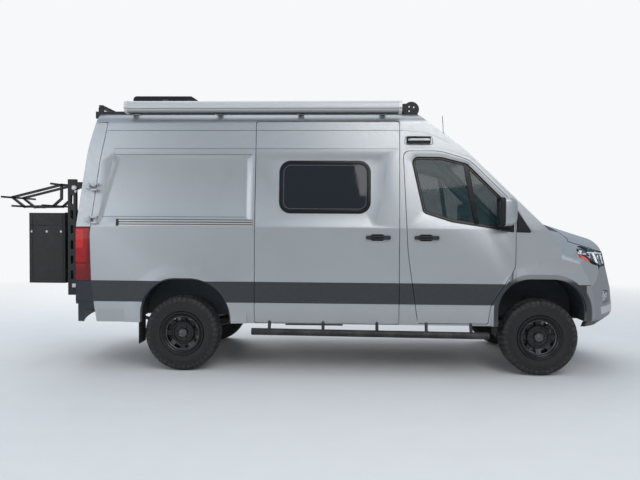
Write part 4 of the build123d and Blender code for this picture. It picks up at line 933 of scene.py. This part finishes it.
# border and wipers of the windscreen
screen = front_map("fixed_glass")
outline = rounded([(-850, 1440), (-520, 1545), (0, 1625), (520, 1545), (850, 1440), (775, 2230), (690, 2300),
                   (0, 2330), (-690, 2300), (-775, 2230)], [60, 800, 800, 800, 60, 90, 90, 3000, 90, 90])
piece("windscreen_border", [ring(screen, outline, [(4, -1), (5, 0.8), (30, 1.0), (52, 0.8), (54, -0.5)])],
      "gloss_black")
parts = []
for start_y, end_y in ((560, -60), (-60, -640)):
    line = [(start_y + (end_y - start_y) * index / 8, 110 * index / 8) for index in range(9)]
    blade = on_skin(screen, [(y, 1690 - abs(y) * 0.1 + rise) for y, rise in line], 9)
    parts.append(tube(blade, 5.0, 8, 2))
    spot, normal = screen(start_y - 60, 1640 - abs(start_y - 60) * 0.12)
    root = spot + vec(90, 0, -75)
    parts.append(tube([root, root.lerp(blade[4], 0.5) + normal * 14, blade[4] + normal * 6], 7.0, 8))
    parts.append(lathe([(-12, 17), (8, 17), (12, 12), (13, 0.5)], root, (0.7, 0, 0.7), 20))
piece("wipers", parts)


def front_lamps(side, sign):
    """Bowl, light strips and lenses of a headlamp, its side marker and the fog lamp below it."""
    nose = nose_map(sign, "headlamps", "front_bumper", "front_wings", "bonnet", "grille")
    lamp = nose_map(sign, "headlamps")
    bowl = divided([(50, 1300), (40, 1268), (25, 1250), (25, 1114), (36, 1114), (40, 1140), (48, 1206),
                    (56.5, 1302)], 4)
    piece("headlamp_bowl_" + side, [patch(lamp, bowl, -20.0, 0.3)], "lamp_dark", slot="lamp_clear")
    parts = [patch(lamp, divided(outline, 3), -7.0, 0.15) for outline in (
        [(55.6, 1282), (53.4, 1242), (48.5, 1240), (48.5, 1268)],
        [(48, 1262), (48, 1252), (27, 1232), (27, 1240)],
        [(43, 1244), (41, 1148), (38.8, 1142), (40.8, 1244)],
        [(31, 1228), (29.6, 1128), (28.8, 1128), (30, 1228)])]
    piece("headlamp_light_" + side, parts, "lamp_white", slot="lamp_clear")
    parts = []
    for angle, z, size in ((45.6, 1206, 32), (35.5, 1184, 38), (27.5, 1180, 32)):
        spot, way = lamp(angle, z)[0], level_way(angle * 0.6, sign)
        for profile in ([(-34, size - 6), (-14, size), (-11, size), (-11, size - 4), (-20, size - 9)],
                        [(-24, size - 10), (-16, size - 16), (-12, size * 0.3), (-11, 0.5)]):
            parts.append(lathe(profile, spot, way, 32))
    piece("headlamp_lens_" + side, parts, "chrome", slot="lamp_clear")
    marker = divided([(54.6, 1224), (49.8, 1150), (47.2, 1152), (52.4, 1236)], 4)
    piece("side_marker_" + side, [patch(lamp, marker, -3.0, 0.2)], "lamp_orange", slot="lamp_red")
    parts = [patch(nose, divided([(40.6, 748), (39, 856), (32, 842), (31, 758)], 4), 3.0, 0.3)]
    for angle in (37.8, 33.8):
        profile = [(0, 34), (10, 34), (13, 31), (9, 28), (6, 16), (8, 0.5)]
        parts.append(lathe(profile, *nose(angle, 800), 28))
    piece("fog_lamp_" + side, parts, "chrome", slot="lamp_clear")


for side, sign in SIDES:
    front_lamps(side, sign)

# mesh behind the grille's slots and in the lower intake
grille_face = front_map("grille")
bars = [tube([(grille_face(y, z)[0].x - 16, y, z) for z in (900, 1000, 1100, 1180)], 3.0, 6, 1)
        for y in range(-384, 385, 48)]
bars += [tube([(grille_face(y, z)[0].x - 14, y, z) for y in range(-396, 400, 72)], 2.6, 6, 1)
         for low_z in (930, 1025, 1120) for z in range(low_z, low_z + 31, 15)]
piece("grille_mesh", bars)
bars = [tube([(858 - abs(y) * 0.12, y, 575), (868 - abs(y) * 0.12, y, 765)], 3.5, 6)
        for y in range(-420, 421, 60)]
bars += [tube([(862 - abs(y) * 0.16, y, z) for y in range(-440, 441, 110)], 3.5, 6, 2)
         for z in range(605, 746, 35)]
piece("intake_mesh", bars)


# mirrors, work lamps and aerial
def mirror_form(rows, caps=True):
    loops = []
    for x, inset in rows:
        corners = [(1036 + inset, 1514 + inset), (1240 - inset, 1524 + inset), (1238 - inset, 1804 - inset),
                   (1040 + inset, 1800 - inset)]
        loops.append([vec(x, *point) for point in rounded(corners, [46, 52, 44, 40], 5, None)])
    return weave(loops, caps)


def mirror_and_work_lamp(side, sign):
    cab_door = "cab_door_" + side
    rim = [(-450, 16), (-464, 13), (-467, 8), (-463, 2), (-452, 0), (-424, 0), (-420, 6)]
    parts = [mirror_form(rim, caps=False), slab((-446, -322), (958, 1090), (1478, 1516), 14, 6),
             slab((-438, -346), (1040, 1110), (1500, 1530), 12, 2)]
    piece("mirror_housing_" + side, facing(parts, sign), "trim", cab_door, "trim", ["mirror_" + side])
    parts = [mirror_form([(-423, 2), (-421, 0), (-380, 1), (-345, 7), (-320, 19), (-302, 38), (-294, 62)])]
    piece("mirror_cover_" + side, facing(parts, sign), "roof_paint", cab_door, "paint", ["mirror_" + side])
    parts = [mirror_form([(-452, 12), (-453, 14), (-453, 40), (-453, 80)])]
    piece("mirror_glass_" + side, facing(parts, sign), "mirror", cab_door, "glass")
    lens = rounded(oblong(-1346, -1123, 2386, 2406), 8)
    piece("work_lamp_lens_" + side, [patch(side_map(sign, "side_lamps"), lens, 2.0, 4)], "zinc",
          slot="lamp_clear")
    bezel = rounded([(-1380, 2352), (-1088, 2346), (-1094, 2436), (-1372, 2440)], 20)
    profile = [(-1, -2), (0, 1.5), (3, 2), (6, 1.5), (7, -2)]
    parts = [ring(side_map(sign, "side_panels", "roof_panel"), bezel, profile)]
    piece("work_lamp_bezel_" + side, parts, "seal_grey")


for side, sign in SIDES:
    mirror_and_work_lamp(side, sign)
foot = skin("roof_panel", "side_panels").ray_cast(vec(-918, -450, 3200), vec(0, 0, -1))[0]
parts = [lathe([(-6, 26), (6, 24), (16, 12), (24, 7), (28, 5)], foot, (0, 0, 1), 24)]
parts.append(tube([foot + Vector(step) for step in ((0, 0, 20), (-4, 0, 110), (-12, 0, 205))], 3.2, 8))
piece("aerial", parts)

# fittings of the awning and the lamp bar
parts = bolts([(x, -1017, 2712) for x in (-4245, -1428)], (0, -1, 0))
parts += [slab(about(x, 34), (-900, -860), (2655, 2664), 2) for x in (-1600, -2450, -3300, -4150)]
piece("awning_fittings", parts, "zinc", slot="case")
parts = []
# The bolts share the lamps' glowing material, so they glow although they are no lamps: a painted glow.
for way in (-1, 1):
    parts += bolts([(-1302 + dx, way * 806, 2727 + dz) for dx, dz in ((-24, -20), (24, 20), (-24, 26))],
                   (0, way, 0))
parts += [lathe([(0, 24), (5, 24), (7, 21), (2, 14), (3, 0.5)], (-1238, y, 2726), (1, 0, 0), 20)
          for y in range(-770, 771, 140)]
piece("lamp_bar_fittings", parts, "lamp_white", slot="lamp_clear")

# shell, lid and straps of the roof unit
UNIT_SIDE = 337
unit = rounded([(-4392, 2722), (-3645, 2722), (-3652, 2916), (-3722, 2960), (-4384, 2962)],
               [12, 12, 30, 40, 40])
parts = [weave([[vec(point.x, y, point.y) for point in shifted(unit, inward)] for inward, y in (
    (7, -338), (3, -336), (0, -330), (0, 330), (3, 336), (7, 338))], caps=True)]
for sign in (1, -1):
    parts += [slab((x, x + 20), about(sign * UNIT_SIDE, 4), (2800, 2890), 1.5)
              for x in range(-4330, -4091, 34)]
piece("roof_unit_shell", parts, "trim", "body", "trim", ["roof_unit"])
parts = [slab((-4350, -3830), (-290, 290), (2956, 2964), 4, 8)]
parts += [slab((x, x + 40), (-250, 250), (2962, 2969)) for x in range(-4320, -3919, 80)]
piece("roof_unit_lid", parts)
parts = []
for sign in (1, -1):
    parts.append(slab((-4050, -3990), about(sign * 340, 3), (2760, 2920), 2))
    parts += bolts([(x, sign * UNIT_SIDE, z) for x in (-4350, -3700) for z in (2770, 2860)], (0, sign, 0))
piece("roof_unit_straps", parts, "seal_grey")

# fittings of the rear carrier and its box, and the grip of the other rear door
CARRIER = "rear_door_right", "black_metal"
CARRIER_FACE = -4842
CARRIER_Y = (-800, -120)
BOX_BOLT_Z = 1431
(box_rear, box_front), (box_right, box_left), (box_low, box_high) = zip(*map(in_mm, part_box("storage_box")))
parts = []
for share in (0.1, 0.5, 0.88):
    x = box_rear + (box_front - box_rear) * share
    parts += bolts([(x, box_right + 1, BOX_BOLT_Z)], (0, -1, 0), 10, 6)
    parts += bolts([(x, box_left - 1, BOX_BOLT_Z)], (0, 1, 0), 10, 6)
parts += bolts([(CARRIER_FACE, y - 24, z) for z in (1860, 1900, 860) for y in CARRIER_Y], (0, -1, 0), 10, 8)
piece("carrier_bolts", parts, "zinc", *CARRIER)
parts = [slab((CARRIER_FACE - 42, CARRIER_FACE), about(y, 28), about(z, 22), 4)
         for y in CARRIER_Y for z in (860, 1900)]
piece("carrier_clamps", parts, "cap", *CARRIER)
parts = []
for y in (-620, -200):
    parts.append(slab((box_rear - 8, box_rear + 2), about(y, 26), (1462, 1540)))
    loop = [(box_rear - 8, y - 12, 1475), (box_rear - 18, y, 1470), (box_rear - 8, y + 12, 1475)]
    parts.append(tube(loop, 4, 8))
parts += [tube([(box_front - 6, end_y, box_high) for end_y in about(y, 30)], 7) for y in (-690, -410, -130)]
for x in (box_rear + 50, box_front - 30):
    parts += [tube([(x, y, box_low + 12), (x, y, box_high - 12)], 4, 10) for y in (box_right, box_left)]
piece("box_fittings", parts, "black_metal", *CARRIER)
rear = rear_map("rear_door_left")
bar = [rear(86, z)[0] - vec(out, 0, 0) for z, out in ((1100, 22), (1170, 36), (1240, 22))]
parts = [tube(bar, 9), patch(rear, rounded(oblong(50, 122, 1085, 1255), 26), 1.5)]
piece("rear_door_grip", parts, body="rear_door_left")

# springs at the front and dampers at the rear
for side, sign in SIDES:
    coil = []
    for index in range(97):
        angle = math.tau * index / 16
        coil.append((math.cos(angle) * 70, sign * 600 + math.sin(angle) * 70, 508 + index * 2.5))
    damper = [(120 - WHEELBASE, sign * 560, 420), (260 - WHEELBASE, sign * 540, 640)]
    piece("spring_" + side, [tube(coil, 8, 8, 1), tube(damper, 26, 16)], "cast", slot="cast")

# instruments
parts = [slab((-330, -120), (260, 600), (1420, 1462), 14, 20),
         slab((-300, -276), (-110, 110), (1330, 1470), 6, 4)]
piece("dash_hood", parts, "dash", slot="dash")
parts = [slab((-312, -301), (-98, 98), (1345, 1458)), slab((-338, -330), (320, 540), (1340, 1410))]
piece("dash_screens", parts, "gloss_black", slot="dash")
parts = []
for y in (-780, -260, 200, 780):
    parts += [slab((-346, -334), about(y, 55), (z, z + 6), 1.5) for z in range(1246, 1303, 14)]
    parts.append(lathe([(0, 10), (8, 10), (9, 0.5)], (-338, y, 1228), (-1, 0, 0), 16))
piece("dash_vents", parts, "seal_grey", slot="dash")

# seats, with lengths of the simulated pads in metres
SEAT_Y = 430.0
VOXEL = 0.012
MOST_SWELL = 0.022
SEAM_DEPTH = 0.006
SEAM_WIDTH_MM = 9.0
PUFF_FRAMES = 20


def pad_form(outline, half_width):
    """Closed soft form from a side outline, narrower at its ends."""
    shape = rounded(outline, 24, 4, 40)
    middle = middle_of(shape)
    loops = []
    for share in (-1, -0.96, -0.86, -0.6, -0.3, 0, 0.3, 0.6, 0.86, 0.96, 1):
        size = 1 - 0.1 * abs(share) ** 4 - (0.22 if abs(share) == 1 else 0)
        loops.append([vec(middle.x + (p.x - middle.x) * size, share * half_width,
                          middle.y + (p.y - middle.y) * size) for p in shape])
    return weave(loops, caps=True)


def soft_piece(name, outline, half_width, seams):
    """Simulated pad of both seats, with its seams pressed in afterwards."""
    made = piece(name + "_left", [pad_form(outline, half_width)], "cloth", "body", "seat_cloth")
    made.modifiers.clear()
    bpy.context.view_layer.objects.active = made
    remesh = made.modifiers.new("remesh", "REMESH")
    remesh.mode = "VOXEL"
    remesh.voxel_size = VOXEL
    bpy.ops.object.modifier_apply(modifier="remesh")
    start = [vertex.co.copy() for vertex in made.data.vertices]
    cloth = made.modifiers.new("cloth", "CLOTH")
    cloth.settings.use_pressure = True
    cloth.settings.uniform_pressure_force = 4.0
    cloth.settings.effector_weights.gravity = 0.0
    for number in range(1, PUFF_FRAMES + 1):
        bpy.context.scene.frame_set(number)
    bpy.ops.object.modifier_apply(modifier="cloth")
    bpy.context.scene.frame_set(1)
    for vertex, old in zip(made.data.vertices, start):
        step = vertex.co - old
        if step.length > MOST_SWELL:
            vertex.co = old + step.normalized() * MOST_SWELL
    normals = [vertex.normal.copy() for vertex in made.data.vertices]
    for vertex, normal in zip(made.data.vertices, normals):
        spot = in_mm(vertex.co)
        spot.y = abs(spot.y)
        depth = sum(math.exp(-(seam(spot) / SEAM_WIDTH_MM) ** 2) for seam in seams)
        vertex.co -= normal * min(depth, 1.2) * SEAM_DEPTH
    made.data.shade_smooth()
    made.modifiers.new("fine", "SUBSURF").levels = 1
    for side, sign in reversed(SIDES):
        copy = made
        if side == "right":
            copy = add_object(name + "_right", made.data.copy())
            copy.modifiers.new("fine", "SUBSURF").levels = 1
            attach(copy, "body")
        for vertex in copy.data.vertices:
            vertex.co.y += sign * SEAT_Y * MM


soft_piece("seat_cushion", [(-1205, 985), (-700, 985), (-672, 1040), (-705, 1072), (-1190, 1045)], 232,
           [lambda p: p.y - 150, lambda p: p.x + 840, lambda p: p.x + 1040])
soft_piece("seat_back", [(-1305, 1005), (-1210, 1015), (-1335, 1655), (-1412, 1655)], 226,
           [lambda p: p.y - 140, lambda p: p.z - 1220, lambda p: p.z - 1440])
soft_piece("seat_head", [(-1418, 1712), (-1352, 1712), (-1376, 1868), (-1432, 1868)], 118,
           [lambda p: p.y - 88])
for side, sign in SIDES:
    y = sign * SEAT_Y
    parts = [slab((-1190, -710), about(y, 188), (700, 952), 14, 10)]
    for rail_y in about(y, 170):
        stem_y = y + (rail_y - y) * 0.3
        parts.append(slab((-1200, -690), about(rail_y, 16), (940, 968), 4))
        parts.append(tube([(-1392, stem_y, 1650), (-1390, stem_y, 1730)], 7, 10))
    lever = [(-1240, y + sign * 244, 1010), (-1215, y + sign * 250, 1045), (-1150, y + sign * 250, 1050)]
    parts.append(tube(lever, 12))
    piece("seat_frame_" + side, parts, "trim", "body", "trim", ["cab_seats"] if side == "right" else [])


# camera, light and floor, in metres
def camera():
    data = bpy.data.cameras.new("camera")
    data.lens = 36.0
    data.sensor_width = 36.0
    data.clip_end = 200.0
    yaw, pitch, roll = -0.040, -0.026, 0.006
    turn = (Matrix.Rotation(-yaw, 4, "Z") @ Matrix.Rotation(math.pi / 2 + pitch, 4, "X")
            @ Matrix.Rotation(roll, 4, "Z"))
    made = add_object("camera", data)
    made.matrix_world = Matrix.Translation(vec(AXLE_X - 1.975, -7.518, 1.537)) @ turn
    bpy.context.scene.camera = made


def area_light(name, spot, target_z, size, power, colour=(1, 1, 1)):
    data = bpy.data.lights.new(name, "AREA")
    data.size = size
    data.energy = power
    data.color = colour
    made = add_object(name, data)
    made.location = spot
    made.rotation_euler = (vec(0, 0, target_z) - Vector(spot)).to_track_quat("-Z", "Y").to_euler()


def studio():
    floor_mesh = bpy.data.meshes.new("studio_floor")
    floor_mesh.from_pydata([(x, y, 0) for x, y in oblong(-60.0, 60.0, -60.0, 60.0)], [], [(0, 1, 2, 3)])
    floor = add_object("studio_floor", floor_mesh)
    mat = Material("floor", roughness=0.85)
    mat.colour(mat.mix(mat.noise(3.0), (0.76, 0.75, 0.73), (0.81, 0.8, 0.78)))
    away = mat.node("ShaderNodeVectorMath", [mat.coords], operation="LENGTH").outputs["Value"]
    far = mat.times(mat.ramp(away, 4.6, 12.0), mat.seen())
    shine = mat.node("ShaderNodeEmission", {"Color": BACKDROP})
    fade = mat.node("ShaderNodeMixShader", (far, mat.surface.outputs[0], shine.outputs[0]))
    mat.put(mat.tree.nodes["Material Output"], "Surface", fade.outputs[0])
    floor_mesh.materials.append(mat.made)
    world = bpy.data.worlds.new("studio_world")
    world.use_nodes = True
    bpy.context.scene.world = world
    world.node_tree.nodes.clear()
    sky = Nodes(world.node_tree, "Generated")
    tone = sky.mix(sky.ramp(sky.axis(2), -0.15, 0.45), (0.58, 0.55, 0.49), (0.7, 0.83, 1.0))
    soft = sky.node("ShaderNodeBackground", (tone, 0.62)).outputs[0]
    pale = sky.node("ShaderNodeBackground", (BACKDROP, 1.0)).outputs[0]
    mixed = sky.node("ShaderNodeMixShader", (sky.seen(), soft, pale))
    sky.node("ShaderNodeOutputWorld", [mixed.outputs[0]])
    area_light("key", (3.4, -9.4, 8.0), 1.2, 7.0, 430.0, (1.0, 0.98, 0.95))
    area_light("fill", (-8.0, -9.0, 4.0), 1.2, 6.0, 210.0, (0.93, 0.96, 1.0))
    area_light("top", (0.0, 2.0, 9.0), 1.0, 9.0, 250.0)
    area_light("back", (-4.0, 9.0, 5.0), 1.2, 6.0, 320.0)


camera()
studio()
bpy.context.scene.view_settings.view_transform = "Standard"
